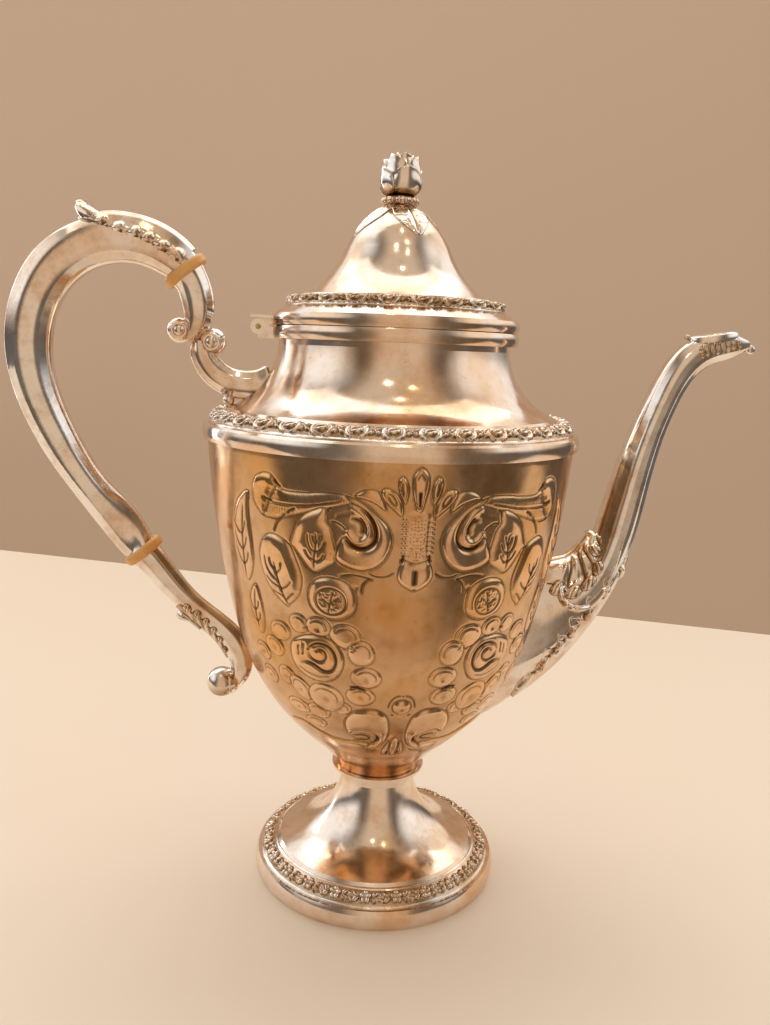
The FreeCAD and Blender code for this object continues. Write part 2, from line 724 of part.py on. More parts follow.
def make_finial():
    hole = d.stud_radius + d.stud_clearance
    thickness = d.finial_leaf_thickness
    lower = backwards(crown_curve())
    upper = moved(crown_curve(), thickness, thickness)
    upper[1] = (d.dome_crown_radius, collar_base) + upper[1][2:]
    skin = turned("leaf_skin", [(hole, dome_top)] + lower + upper + [(hole, collar_base)])
    first = d.finial_leaf_turn.number - 90
    prisms = [leaf_prism(first + turn) for turn in (0, 90, 180, 270)]
    disc = Part.makeCylinder(d.finial_collar_radius.number, bud_base.number)
    spray = solid_feature("leaf_outline", disc.multiFuse(prisms))
    keep(boolean("Common", "leaf_spray", skin, spray), "finial_leaves")
    collar = turned("finial_collar", [(hole, collar_base),
                                      (d.finial_collar_radius, collar_base),
                                      (d.finial_collar_radius, bud_base, d.finial_collar_arc),
                                      (hole, bud_base)])
    beads = (d.bead_radius, d.bead_radius, d.bead_radius)
    ring_of_bosses(collar, "beads", d.bead_count,
                   (d.finial_collar_radius, collar_base + d.finial_collar_height * 0.5), 0.0, beads)
    keep(collar, "finial_collar")
    foot = dome_top - d.stud_length
    bud = turned("finial_bud", [(zero, foot),
                                (d.stud_radius, foot),
                                (d.stud_radius, bud_base),
                                (d.bud_base_radius, bud_base),
                                (d.bud_radius, bud_base + d.bud_belly_height, d.bud_lower_arc),
                                (d.bud_tip_radius, bud_base + d.bud_tip_height, d.bud_upper_arc),
                                (zero, bud_base + d.bud_height)])
    petal = (d.petal_relief, d.petal_length, d.petal_breadth)
    ring_of_bosses(bud, "outer_petals", d.petal_count,
                   (d.bud_radius - d.petal_relief * 0.5, bud_base + d.petal_length), 90.0, petal)
    keep(bud, "finial_bud")
    ceiling = dome_top - d.dome_wall
    washer_base = ceiling - d.washer_thickness
    washer = [(hole, washer_base),
              (d.washer_radius, washer_base),
              (d.washer_radius, ceiling),
              (hole, ceiling)]
    keep(turned("finial_washer", washer), "finial_washer")
    nut = doc.addObject("Part::Prism", "nut_block")
    nut.Polygon = 6
    nut.setExpression("Circumradius", d.nut_radius.text)
    nut.setExpression("Height", d.nut_height.text)
    nut.setExpression("Placement.Base.z", (washer_base - d.nut_height).text)
    stud = doc.addObject("Part::Cylinder", "nut_bore")
    stud.setExpression("Radius", d.stud_radius.text)
    stud.setExpression("Height", bud_base.text)
    keep(boolean("Cut", "nut_cut", nut, stud), "finial_nut")


# Lid hinge

def block(label, low, high):
    """Box between two corners, each given as three sizes."""
    box = doc.addObject("Part::Box", label)
    for prop, start, end in zip(("Length", "Width", "Height"), low, high):
        box.setExpression(prop, (end - start).text)
    for way, start in zip("xyz", low):
        box.setExpression(f"Placement.Base.{way}", start.text)
    return box


def cross_cylinder(label, radius, out, height, start, end):
    """Cylinder along Y at a distance out on the handle's side."""
    rod = doc.addObject("Part::Cylinder", label)
    rod.Placement = FreeCAD.Placement(V(0, 0, 0), FreeCAD.Rotation(X_AXIS, -90))
    rod.setExpression("Radius", radius.text)
    rod.setExpression("Height", (end - start).text)
    rod.setExpression("Placement.Base.x", (out * -1).text)
    rod.setExpression("Placement.Base.y", start.text)
    rod.setExpression("Placement.Base.z", height.text)
    return rod


def upright_cylinder(label, radius, height):
    post = doc.addObject("Part::Cylinder", label)
    post.setExpression("Radius", radius.text)
    post.setExpression("Height", height.text)
    return post


def make_hinge(neck):
    axis_out = d.neck_rim_radius + d.hinge_offset
    axis_up = seat - d.hinge_drop
    half = d.hinge_width * 0.5
    middle = d.knuckle_width * 0.5
    inner = middle + d.knuckle_gap
    top = axis_up + d.knuckle_radius + d.knuckle_gap
    inside_neck = d.neck_rim_radius - d.hinge_offset
    inside_lid = d.lid_radius - d.hinge_offset
    neck_space = turned("neck_rim_space", [(zero, neck_top)] + neck_rim_edge() + [(zero, seat)])
    lid_space = turned("lid_rim_space", [(zero, lid_base)] + lid_rim_edge() + [(zero, dome_base)])
    bore = cross_cylinder("hinge_bore", d.pin_radius, axis_out, axis_up, half * -1, half)
    under = axis_up - d.knuckle_radius - d.knuckle_gap
    low = under - d.hinge_leaf_thickness
    ears = [block("hinge_bridge", (axis_out * -1, half * -1, low), (inside_neck * -1, half, under))]
    for side, start, end in (("left", half * -1, inner * -1), ("right", inner, half)):
        ears.append(cross_cylinder(f"knuckle_{side}", d.knuckle_radius, axis_out, axis_up, start, end))
        ears.append(block(f"arm_{side}", (axis_out * -1, start, low), (inside_neck * -1, end, axis_up)))
    fixed_blank = fused("fixed_blank", ears)
    fixed_space = fused("fixed_space", [neck_space, neck, bore])
    keep(boolean("Cut", "fixed_trim", fixed_blank, fixed_space), "hinge_fixed_leaf")
    keep(cross_cylinder("hinge_pin", d.pin_radius, axis_out, axis_up, half * -1, half), "hinge_pin")
    running_radius = d.pin_radius + d.pin_clearance
    running = cross_cylinder("running_bore", running_radius, axis_out, axis_up, half * -1, half)
    knuckle = cross_cylinder("lid_knuckle", d.knuckle_radius, axis_out, axis_up, middle * -1, middle)
    web = block("lid_web", (axis_out * -1, middle * -1, axis_up), (inside_lid * -1, middle, top))
    plate = block("lid_plate", ((axis_out + d.knuckle_radius) * -1, half * -1, top),
                  (inside_lid * -1, half, top + d.hinge_leaf_thickness))
    clear = upright_cylinder("rim_clearance", d.neck_rim_radius + d.hinge_clearance, lid_base)
    leaf_blank = fused("lid_leaf_blank", [knuckle, web, plate])
    leaf_space = fused("lid_leaf_space", [lid_space, clear, running])
    keep(boolean("Cut", "lid_leaf_trim", leaf_blank, leaf_space), "hinge_lid_leaf")


# Free curves: the spout and the handle

def curve(name, wall, base):
    """Points of a curve, out from a wall and up from a level, and the widths there."""
    points = []
    widths = []
    for index, point in enumerate(CURVES[name]):
        out = sheet.get(f"{name}_out_{index}")
        up = sheet.get(f"{name}_up_{index}")
        points.append(V(wall + out, 0, base + up))
        if len(point) == 3:
            widths.append(sheet.get(f"{name}_width_{index}"))
    return points, widths


def mirrored(points):
    """The same points on the handle's side."""
    return [V(-point.x, point.y, point.z) for point in points]


class Line:
    """A smooth line through points. A place counts from point to point: 1.5 is half way from 1 to 2."""

    def __init__(self, points, widths=()):
        self.curve = Part.BSplineCurve()
        self.curve.interpolate(points)
        self.marks = [self.curve.parameter(point) for point in points]
        self.widths = widths
        self.last = len(points) - 1

    def mark(self, place):
        index = min(int(place), self.last - 1)
        return self.marks[index] + (self.marks[index + 1] - self.marks[index]) * (place - index)

    def point(self, place):
        return self.curve.value(self.mark(place))

    def along(self, place):
        return V(*self.curve.tangent(self.mark(place))[0]).normalize()

    def across(self, place):
        way = self.along(place)
        return V(-way.z, 0, way.x)

    def width(self, place):
        index = min(int(place), self.last - 1)
        return self.widths[index] + (self.widths[index + 1] - self.widths[index]) * (place - index)

    def place_after(self, place, distance):
        """The place that lies a distance further on, or back for a negative distance."""
        mark = self.curve.parameterAtDistance(distance, self.mark(place))
        index = max(index for index in range(self.last) if self.marks[index] <= mark)
        return index + (mark - self.marks[index]) / (self.marks[index + 1] - self.marks[index])


def panelled_section(one, other, breadth, inset=0.0):
    """Rounded eight-sided section between two points of the XZ plane, as broad along Y as asked."""
    centre = (one + other) * 0.5
    across = (one - other).normalize()
    half_width = (one - other).Length / 2 - inset
    half_breadth = breadth / 2 - inset
    flat = math.tan(math.radians(22.5))
    corners = [(1, flat), (flat, 1), (-flat, 1), (-1, flat),
               (-1, -flat), (-flat, -1), (flat, -1), (1, -flat)]
    places = [centre + across * (half_width * a) + Y_AXIS * (half_breadth * b) for a, b in corners]
    rounding = 0.28
    edges = []
    for index, corner in enumerate(places):
        before = places[index - 1]
        after = places[(index + 1) % len(places)]
        start = corner + (before - corner) * rounding
        end = corner + (after - corner) * rounding
        middle = corner * 0.5 + (start + end) * 0.25
        last = after + (corner - after) * rounding
        edges.append(Part.Arc(start, middle, end).toShape())
        edges.append(Part.LineSegment(end, last).toShape())
    return Part.Wire(edges)


def steps(start, end, spacing=0.5):
    """Even places from start to end."""
    count = max(2, round((end - start) / spacing))
    return [start + (end - start) * index / count for index in range(count + 1)]


def lobed_prism(edge, far, bulge, depth=60.0):
    """Prism along Y of a leaf seen from the side: lobes along one edge, straight on the far side."""
    sides = []
    for start, end in zip(edge, edge[1:]):
        chord = end - start
        outward = V(-chord.z, 0, chord.x).normalize()
        if outward.dot(far[0] - edge[0]) > 0:
            outward = outward * -1
        sides.append(Part.Arc(start, (start + end) * 0.5 + outward * bulge, end).toShape())
    corners = [edge[-1]] + far[::-1] + [edge[0]]
    for start, end in zip(corners, corners[1:]):
        sides.append(Part.LineSegment(start, end).toShape())
    face = Part.Face(Part.Wire(sides))
    face.translate(Y_AXIS * (-depth / 2))
    return face.extrude(Y_AXIS * depth)


def roll(centre, radius, width):
    """A rolled leaf tip: a short bar along Y with rounded ends."""
    bar = Part.makeCylinder(radius, width, centre - Y_AXIS * (width / 2), Y_AXIS)
    ends = [edge for edge in bar.Edges if edge.Closed and edge.Length > radius]
    return bar.makeFillet(radius * d.roll_rounding.number, ends)


def spout_edges():
    wall = radius_at(bowl_side(), (bowl_base + d.strainer_height).number)
    base = bowl_base.number
    return Line(curve("spout_crest", wall, base)[0]), Line(curve("spout_keel", wall, base)[0])


def spout_loft(start, end, inset):
    crest, keel = spout_edges()
    root = d.spout_root_breadth.number
    tip = d.spout_tip_breadth.number
    taper = 1.6
    sections = []
    for place in steps(start, end):
        breadth = tip + (root - tip) * (1 - place / crest.last) ** taper
        sections.append(panelled_section(crest.point(place), keel.point(place), breadth, inset))
    return Part.makeLoft(sections, True, False)


def spout_leaf(start, end, share, from_crest, skin):
    """Leaf that wraps the spout from one edge to a share of its width, with lobes and a rolled tip."""
    crest, keel = spout_edges()
    edge = []
    far = []
    for place in steps(start, end):
        one, other = crest.point(place), keel.point(place)
        if not from_crest:
            one, other = other, one
        edge.append(one + (other - one) * share)
        far.append(one + (one - other) * 1.0)
    tip = (crest if from_crest else keel).point(end)
    other = (keel if from_crest else crest).point(end)
    away = (tip - other).normalize()
    curl = roll(tip + away * d.leaf_thickness.number, d.leaf_roll_radius.number, d.leaf_roll_width.number)
    return skin.common(lobed_prism(edge, far, d.spout_lobe.number)).fuse(curl)


def mouth_frame():
    """Middle of the mouth, the way along it and the way up from it."""
    crest = spout_edges()[0]
    back = crest.point(crest.last - 2)
    front = crest.point(crest.last - 1)
    along = (front - back).normalize()
    return (back + front) * 0.5, along, V(-along.z, 0, along.x)


def mouth_prism(length, breadth, depth, height):
    middle, along, up = mouth_frame()
    face = Part.Face(Part.Wire(Part.Ellipse(V(0, 0, 0), length / 2, breadth / 2).toShape()))
    face.Placement = FreeCAD.Placement(middle - up * depth, FreeCAD.Rotation(along, Y_AXIS, up))
    return face.extrude(up * (depth + height))


def make_spout(envelope):
    crest, keel = spout_edges()
    bowl = envelope.Shape
    outer = spout_loft(0, crest.last, 0.0)
    hollow = spout_loft(0, crest.last - 0.5, d.spout_wall.number)
    length, breadth, depth = d.mouth_length.number, d.mouth_breadth.number, d.mouth_depth.number
    mouth = mouth_prism(length, breadth, depth, depth)
    keep(solid_feature("spout", outer.cut(hollow).cut(mouth).cut(bowl)), "spout")
    edge = d.lip_width.number * 2
    ring = mouth_prism(length + edge, breadth + edge, depth, d.lip_height.number)
    middle, along, up = mouth_frame()
    beak_radius = d.beak_radius.number
    beak = roll(keel.point(keel.last) + along * beak_radius, beak_radius, d.beak_length.number)
    keep(solid_feature("spout_lip", ring.cut(mouth).cut(outer)), "spout_lip")
    keep(solid_feature("spout_beak", beak.cut(outer)), "spout_beak")
    skin = spout_loft(0, crest.last / 2, -d.leaf_thickness.number).cut(outer).cut(bowl)
    end = d.spout_leaf_end.number
    crest_leaf = spout_leaf(d.crest_leaf_start.number, end, d.crest_leaf_share.number, True, skin).cut(outer)
    keel_leaf = spout_leaf(d.keel_leaf_start.number, end, d.keel_leaf_share.number, False, skin).cut(outer)
    keel_leaf = keel_leaf.cut(crest_leaf)
    keep(solid_feature("spout_crest_leaf", crest_leaf), "spout_crest_leaf")
    keep(solid_feature("spout_keel_leaf", keel_leaf), "spout_keel_leaf")


def tube_section(point, along, width, inset):
    across = V(-along.z, 0, along.x) * (width / 2)
    return panelled_section(point + across, point - across, width * d.handle_slimness.number, inset)


def tube_loft(line, start, end, inset, start_shift=0.0, end_shift=0.0):
    """Tube along a line. A shifted end stands square to the line at its place, a little further along."""
    sections = []
    for place in steps(start, end):
        shift = start_shift if place == start else end_shift if place == end else 0.0
        along = line.along(place)
        sections.append(tube_section(line.point(place) + along * shift, along, line.width(place), inset))
    return Part.makeLoft(sections, True, False)


def make_handle(bowl, neck, band):
    neck_wall = d.neck_radius.number
    bowl_wall = radius_at(bowl_side(), (bowl_base + d.handle_joint_height).number)
    upper, upper_widths = curve("upper_handle", neck_wall, bowl_top.number)
    lower, lower_widths = curve("lower_handle", bowl_wall, bowl_base.number)
    line = Line(mirrored(upper + lower), upper_widths + lower_widths)
    first = UPPER_INSULATOR
    second = len(upper) + LOWER_INSULATOR
    half = d.insulator_thickness.number / 2
    spigot = d.insulator_spigot.number
    wall = d.handle_wall.number

    grip = tube_loft(line, first, second, 0.0, half, -half)
    hollow = tube_loft(line, first, second, wall, half, -half)
    upper_tube = tube_loft(line, 0, first, 0.0, 0.0, -half)
    upper_bore = tube_loft(line, line.place_after(first, -half - spigot), first, wall, 0.0, -half)
    lower_tube = tube_loft(line, second, line.last, 0.0, half, 0.0)
    lower_bore = tube_loft(line, second, line.place_after(second, half + spigot), wall, half, 0.0)

    upper_across = -neck_wall - d.upper_volute_out.number
    lower_across = -bowl_wall - d.lower_volute_out.number
    upper_ball = ball(d.upper_volute_radius, upper_across, bowl_top + d.upper_volute_up)
    lower_ball = ball(d.lower_volute_radius, lower_across, bowl_base + d.lower_volute_up)
    upper_socket = upper_tube.fuse(upper_ball)
    lower_socket = lower_tube.fuse(lower_ball).cut(bowl.Shape)
    scroll = make_neck_scroll(neck, band)
    upper_socket = upper_socket.cut(scroll)

    discs = []
    pins = {}
    ends = (("upper", first, -1, upper_bore), ("lower", second, 1, lower_bore))
    for name, place, socket_way, bore in ends:
        along = line.along(place)
        face = Part.makeCylinder(line.width(place), spigot, line.point(place) - along * socket_way * half,
                                 along * -socket_way)
        in_grip = hollow.common(face)
        discs.append(insulator_disc(line, place).multiFuse([in_grip, bore]))
        middle = half + spigot / 2
        pins[f"{name}_socket_pin"] = cross_pin(line.point(line.place_after(place, socket_way * middle)))
        pins[f"{name}_grip_pin"] = cross_pin(line.point(line.place_after(place, -socket_way * middle)))
    bores = list(pins.values())
    keep(solid_feature("upper_socket", upper_socket.cut(upper_bore).cut(bores)), "upper_socket")
    keep(solid_feature("upper_insulator", discs[0].cut(bores)), "upper_insulator")
    keep(solid_feature("handle_grip", grip.cut(hollow).cut(bores)), "handle_grip")
    keep(solid_feature("lower_insulator", discs[1].cut(bores)), "lower_insulator")
    keep(solid_feature("lower_socket", lower_socket.cut(lower_bore).cut(bores)), "lower_socket")
    tubes = {"upper_socket_pin": upper_tube, "lower_socket_pin": lower_tube}
    for name, pin in pins.items():
        keep(solid_feature(name, pin.common(tubes.get(name, grip))), name)
    thickness = d.leaf_thickness.number
    skin = tube_loft(line, first, first + 4, -thickness, half, 0.0).cut(grip)
    thumb = first + d.thumb_leaf_span.number
    leaf = handle_leaf(line, skin, first, thumb, thumb)
    keep(solid_feature("thumb_leaf", leaf.cut(grip)), "thumb_leaf")
    skin = tube_loft(line, second, line.last, -thickness, half, 0.0).cut(lower_socket).cut(bowl.Shape)
    tip = second + d.lower_leaf_start.number
    leaf = handle_leaf(line, skin, tip, line.last - d.lower_leaf_end.number, tip)
    keep(solid_feature("lower_leaf", leaf.cut(lower_socket)), "lower_leaf")


def ball(radius, across, height):
    return Part.makeSphere(radius.number, V(across, 0, height.number))


def make_neck_scroll(neck, band):
    """Cast scroll from the neck to the upper socket, and the small post under it."""
    neck_wall = d.neck_radius.number
    points, widths = curve("neck_scroll", neck_wall, bowl_top.number)
    line = Line(mirrored(points), widths)
    volute = ball(d.neck_volute_radius, -neck_wall - d.neck_volute_out.number, bowl_top + d.neck_volute_up)
    scroll = tube_loft(line, 0, line.last, 0.0).fuse(volute).cut(neck.Shape)
    keep(solid_feature("neck_scroll", scroll), "neck_scroll")
    foot = V(-neck_wall - d.drop_out.number, 0, shoulder_edge.number)
    height = d.drop_height.number
    post = Part.makeCylinder(d.drop_radius.number, height, foot)
    bead = Part.makeSphere(d.drop_bead_radius.number, foot + Z_AXIS * (height * d.drop_bead_share.number))
    keep(solid_feature("handle_drop", post.fuse(bead).cut([neck.Shape, band.Shape, scroll])), "handle_drop")
    return scroll


def insulator_disc(line, place):
    """Oval disc with a rounded edge, square to the handle and a little wider than it."""
    along = line.along(place)
    thickness = d.insulator_thickness.number
    width = line.width(place)
    half_width = width / 2 + d.insulator_edge.number
    half_breadth = width * d.handle_slimness.number / 2 + d.insulator_edge.number
    face = Part.Face(Part.Wire(Part.Ellipse(V(0, 0, 0), half_width, half_breadth).toShape()))
    turn = FreeCAD.Rotation(line.across(place), Y_AXIS * -1, along)
    face.Placement = FreeCAD.Placement(line.point(place) - along * (thickness / 2), turn)
    disc = face.extrude(along * thickness)
    return disc.makeFillet(d.insulator_round.number, [edge for edge in disc.Edges if edge.Closed])


def cross_pin(centre):
    """Long pin along Y, trimmed later to the tube that it passes through."""
    length = d.bowl_radius.number
    return Part.makeCylinder(d.cross_pin_radius.number, length, centre - Y_AXIS * (length / 2), Y_AXIS)


def handle_leaf(line, skin, start, end, tip):
    """Leaf on the outer side of the handle, lobed along the middle of its side, with a rolled tip."""
    edge = []
    far = []
    for place in steps(start, end):
        edge.append(line.point(place))
        far.append(line.point(place) - line.across(place) * line.width(place) * 1.5)
    tip_out = line.width(tip) / 2 + d.leaf_thickness.number
    outside = line.point(tip) - line.across(tip) * tip_out
    curl = roll(outside, d.leaf_roll_radius.number, d.leaf_roll_width.number)
    return skin.common(lobed_prism(edge, far, d.handle_lobe.number)).fuse(curl)


def finish():
    failed = [feature.Name for feature in doc.Objects if {"Invalid", "Error"} & set(feature.State)]
    for feature in nodes:
        if feature.Shape.isNull() or not feature.Shape.isValid():
            failed.append(feature.Label)
    if failed:
        raise RuntimeError("failed: " + ", ".join(failed))
    os.makedirs("parts", exist_ok=True)
    for feature in nodes:
        feature.Shape.exportStep(f"parts/{feature.Label}.step")
        print(f"{feature.Label}: {len(feature.Shape.Solids)} solid, {feature.Shape.Volume / 1000:.2f} cm3")


make_foot()
bowl_envelope = make_bowl()
neck_envelope, shoulder_band = make_shoulder()
make_lid()
make_dome()
make_finial()
make_hinge(neck_envelope)
make_spout(bowl_envelope)
make_handle(bowl_envelope, neck_envelope, shoulder_band)
doc.recompute()
finish()
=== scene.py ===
import math
import bmesh
import bpy
import numpy as np
from mathutils import Matrix, Vector
from mathutils.bvhtree import BVHTree


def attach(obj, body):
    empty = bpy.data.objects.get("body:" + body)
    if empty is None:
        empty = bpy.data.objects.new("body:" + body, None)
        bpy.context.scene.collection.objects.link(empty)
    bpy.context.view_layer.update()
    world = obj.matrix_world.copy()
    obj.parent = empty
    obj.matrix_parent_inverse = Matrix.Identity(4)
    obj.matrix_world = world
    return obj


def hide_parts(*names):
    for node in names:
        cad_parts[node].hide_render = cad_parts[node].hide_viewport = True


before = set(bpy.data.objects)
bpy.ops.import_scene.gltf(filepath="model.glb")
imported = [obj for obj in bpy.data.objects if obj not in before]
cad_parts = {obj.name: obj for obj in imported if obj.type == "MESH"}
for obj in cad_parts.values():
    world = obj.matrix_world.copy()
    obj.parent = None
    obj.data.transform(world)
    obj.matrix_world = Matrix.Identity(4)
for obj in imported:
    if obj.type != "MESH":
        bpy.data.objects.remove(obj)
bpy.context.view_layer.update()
scene = bpy.context.scene
scene.view_settings.view_transform = "Standard"
mm = 0.001
print("frame loaded:", len(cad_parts), "nodes")


# Node helpers

def addNode(tree, kind, **settings):
    node = tree.nodes.new(kind)
    for name, value in settings.items():
        if hasattr(node, name):
            setattr(node, name, value)
        else:
            node.inputs[name].default_value = value
    return node


def mixColours(tree, share, first, second):
    mix = tree.nodes.new("ShaderNodeMix")
    mix.data_type = "RGBA"
    for socket, value in ((mix.inputs[0], share), (mix.inputs[6], first), (mix.inputs[7], second)):
        if isinstance(value, bpy.types.NodeSocket):
            tree.links.new(value, socket)
        else:
            socket.default_value = value
    return mix.outputs[2]


def rampOf(tree, source, low, high, fromValue=0.0, toValue=1.0):
    ramp = addNode(tree, "ShaderNodeMapRange")
    ramp.interpolation_type = "SMOOTHSTEP"
    for name, value in (("From Min", low), ("From Max", high), ("To Min", fromValue), ("To Max", toValue)):
        ramp.inputs[name].default_value = value
    tree.links.new(source, ramp.inputs["Value"])
    return ramp.outputs["Result"]


def calculate(tree, operation, first, second):
    node = addNode(tree, "ShaderNodeMath", operation=operation)
    for socket, value in zip(node.inputs, (first, second)):
        if isinstance(value, bpy.types.NodeSocket):
            tree.links.new(value, socket)
        else:
            socket.default_value = value
    return node.outputs[0]


def noiseOf(tree, vector, scale, detail=3.0, roughness=0.55):
    noise = addNode(tree, "ShaderNodeTexNoise")
    noise.inputs["Scale"].default_value = scale
    noise.inputs["Detail"].default_value = detail
    noise.inputs["Roughness"].default_value = roughness
    tree.links.new(vector, noise.inputs["Vector"])
    return noise.outputs["Fac"]


def stretched(tree, vector, scale, turn=(0.0, 0.0, 0.0)):
    mapping = addNode(tree, "ShaderNodeMapping")
    mapping.inputs["Scale"].default_value = scale
    mapping.inputs["Rotation"].default_value = [math.radians(v) for v in turn]
    tree.links.new(vector, mapping.inputs["Vector"])
    return mapping.outputs["Vector"]


def newFinish(name):
    material = bpy.data.materials.new(name)
    material.use_nodes = True
    tree = material.node_tree
    place = addNode(tree, "ShaderNodeTexCoord").outputs["Object"]
    return material, tree, tree.nodes["Principled BSDF"], place


def addBump(tree, shader, height, strength, distance):
    bump = addNode(tree, "ShaderNodeBump")
    bump.inputs["Strength"].default_value = strength
    bump.inputs["Distance"].default_value = distance * mm
    tree.links.new(height, bump.inputs["Height"])
    tree.links.new(bump.outputs["Normal"], shader.inputs["Normal"])


# Aged silver: an amber film of tarnish, hairline scratches, polishing lines, dark recesses and, on some
# pieces, painted shade
agedSilver = {
    "bright": (0.92, 0.895, 0.86, 1.0),
    "warm": (0.80, 0.42, 0.14, 1.0),
    "brown": (0.43, 0.26, 0.115, 1.0),
    "oxide": (0.045, 0.030, 0.020, 1.0),
    "speck": (0.16, 0.10, 0.06, 1.0),
    "cloudScale": 38.0,
    "stainScale": 150.0,
    "speckScale": 620.0,
    "scratchScale": 260.0,
    "lineScale": 5200.0,
    "roughLow": 0.06,
    "roughHigh": 0.15,
    "scratch": 0.10,
    "ring": 0.06,
    "dent": 6.0,
    "dentScale": 90.0,
    "bumpHeight": 0.02,
    # where each noise begins and ends to show
    "cloudRamp": (0.40, 0.66),
    "stainRamp": (0.44, 0.68),
    "speckRamp": (0.69, 0.76),
    "smearRamp": (0.3, 0.75),
    "scratchRamp": (0.60, 0.70),
    "filmSpread": 0.4,    # the film is this much stronger inside its clouds
    "speckShare": 0.55,
    # tarnish of a recess, or painted shade, where it turns brown, and then black
    "brownRamp": (0.0, 0.5),
    "oxideRamp": (0.35, 0.95),
    "recessRough": 0.35,
}


def silverFinish(name, film=0.4, lines=0.0, patina=0.2, dull=1.0):
    # film is the tarnish where it is thinnest, patina the share of brown stains
    # dull multiplies the roughness
    s = agedSilver
    material, tree, shader, place = newFinish(name)
    cloud = noiseOf(tree, place, s["cloudScale"], 5.0, 0.62)
    patch = rampOf(tree, cloud, *s["cloudRamp"], film, min(film + s["filmSpread"], 1.0))
    colour = mixColours(tree, patch, s["bright"], s["warm"])
    stain = rampOf(tree, noiseOf(tree, place, s["stainScale"], 6.0, 0.65), *s["stainRamp"], 0.0, patina)
    colour = mixColours(tree, stain, colour, s["brown"])
    dots = rampOf(tree, noiseOf(tree, place, s["speckScale"], 2.0), *s["speckRamp"], 0.0, s["speckShare"])
    colour = mixColours(tree, calculate(tree, "MULTIPLY", dots, patch), colour, s["speck"])
    # the attribute holds tarnish in recesses, and painted shade on the scroll ball's underside and round the
    # hooked leaf lobes
    dark = addNode(tree, "ShaderNodeAttribute", attribute_name="tarnish").outputs["Fac"]
    colour = mixColours(tree, rampOf(tree, dark, *s["brownRamp"]), colour, s["brown"])
    colour = mixColours(tree, rampOf(tree, dark, *s["oxideRamp"]), colour, s["oxide"])
    tree.links.new(colour, shader.inputs["Base Color"])
    shader.inputs["Metallic"].default_value = 1.0
    smear = noiseOf(tree, place, s["cloudScale"] * 3.0, 4.0, 0.6)
    rough = calculate(tree, "MULTIPLY_ADD", dark, s["recessRough"])
    polish = rampOf(tree, smear, *s["smearRamp"], dull * s["roughLow"], dull * s["roughHigh"])
    tree.links.new(polish, rough.node.inputs[2])
    tree.links.new(rough, shader.inputs["Roughness"])
    # hairlines in two directions, and the lathe's polishing lines round turned pieces
    oneWay = stretched(tree, place, (1.0, 1.0, 0.06), (25.0, 40.0, 10.0))
    otherWay = stretched(tree, place, (0.07, 1.0, 1.0), (-35.0, 15.0, 50.0))
    first = noiseOf(tree, oneWay, s["scratchScale"] * 8.0, 2.0)
    second = noiseOf(tree, otherWay, s["scratchScale"] * 6.0, 2.0)
    first, second = (rampOf(tree, way, *s["scratchRamp"]) for way in (first, second))
    grain = calculate(tree, "ADD", first, second)
    grain = calculate(tree, "MULTIPLY", grain, s["scratch"])
    if lines:
        rings = noiseOf(tree, stretched(tree, place, (0.004, 0.004, 1.0)), s["lineScale"], 2.0)
        grain = calculate(tree, "ADD", grain, calculate(tree, "MULTIPLY", rings, lines * s["ring"]))
    dents = noiseOf(tree, place, s["dentScale"], 1.0)
    grain = calculate(tree, "ADD", grain, calculate(tree, "MULTIPLY", dents, s["dent"]))
    addBump(tree, shader, grain, 1.0, s["bumpHeight"])
    return material


ivoryRing = {
    "pale": (0.95, 0.56, 0.21, 1.0),
    "deep": (0.87, 0.44, 0.13, 1.0),
    "stain": (0.40, 0.17, 0.06, 1.0),
    "grainScale": 160.0,
    "stainScale": 420.0,
    "roughness": 0.34,
    "bumpHeight": 0.05,
}


def ivoryFinish():
    s = ivoryRing
    material, tree, shader, place = newFinish("ivoryInsulator")
    grain = noiseOf(tree, stretched(tree, place, (1.0, 0.2, 1.0)), s["grainScale"], 5.0, 0.6)
    colour = mixColours(tree, rampOf(tree, grain, 0.35, 0.7), s["pale"], s["deep"])
    stain = rampOf(tree, noiseOf(tree, place, s["stainScale"], 4.0), 0.62, 0.78, 0.0, 0.5)
    colour = mixColours(tree, stain, colour, s["stain"])
    tree.links.new(colour, shader.inputs["Base Color"])
    polish = rampOf(tree, grain, 0.3, 0.7, s["roughness"] - 0.06, s["roughness"] + 0.1)
    tree.links.new(polish, shader.inputs["Roughness"])
    shader.inputs["Subsurface Weight"].default_value = 0.12
    shader.inputs["Subsurface Radius"].default_value = (0.002, 0.001, 0.0005)
    addBump(tree, shader, grain, 0.15, s["bumpHeight"])
    return material


oldBrass = {
    "bright": (0.62, 0.43, 0.18, 1.0),
    "dark": (0.30, 0.19, 0.09, 1.0),
    "patinaScale": 300.0,
    "roughLow": 0.25,
    "roughHigh": 0.45,
}


def brassFinish():
    s = oldBrass
    material, tree, shader, place = newFinish("oldBrass")
    patina = noiseOf(tree, place, s["patinaScale"], 4.0)
    colour = mixColours(tree, rampOf(tree, patina, 0.4, 0.7), s["bright"], s["dark"])
    tree.links.new(colour, shader.inputs["Base Color"])
    tree.links.new(rampOf(tree, patina, 0.3, 0.7, s["roughLow"], s["roughHigh"]),
                   shader.inputs["Roughness"])
    shader.inputs["Metallic"].default_value = 1.0
    return material


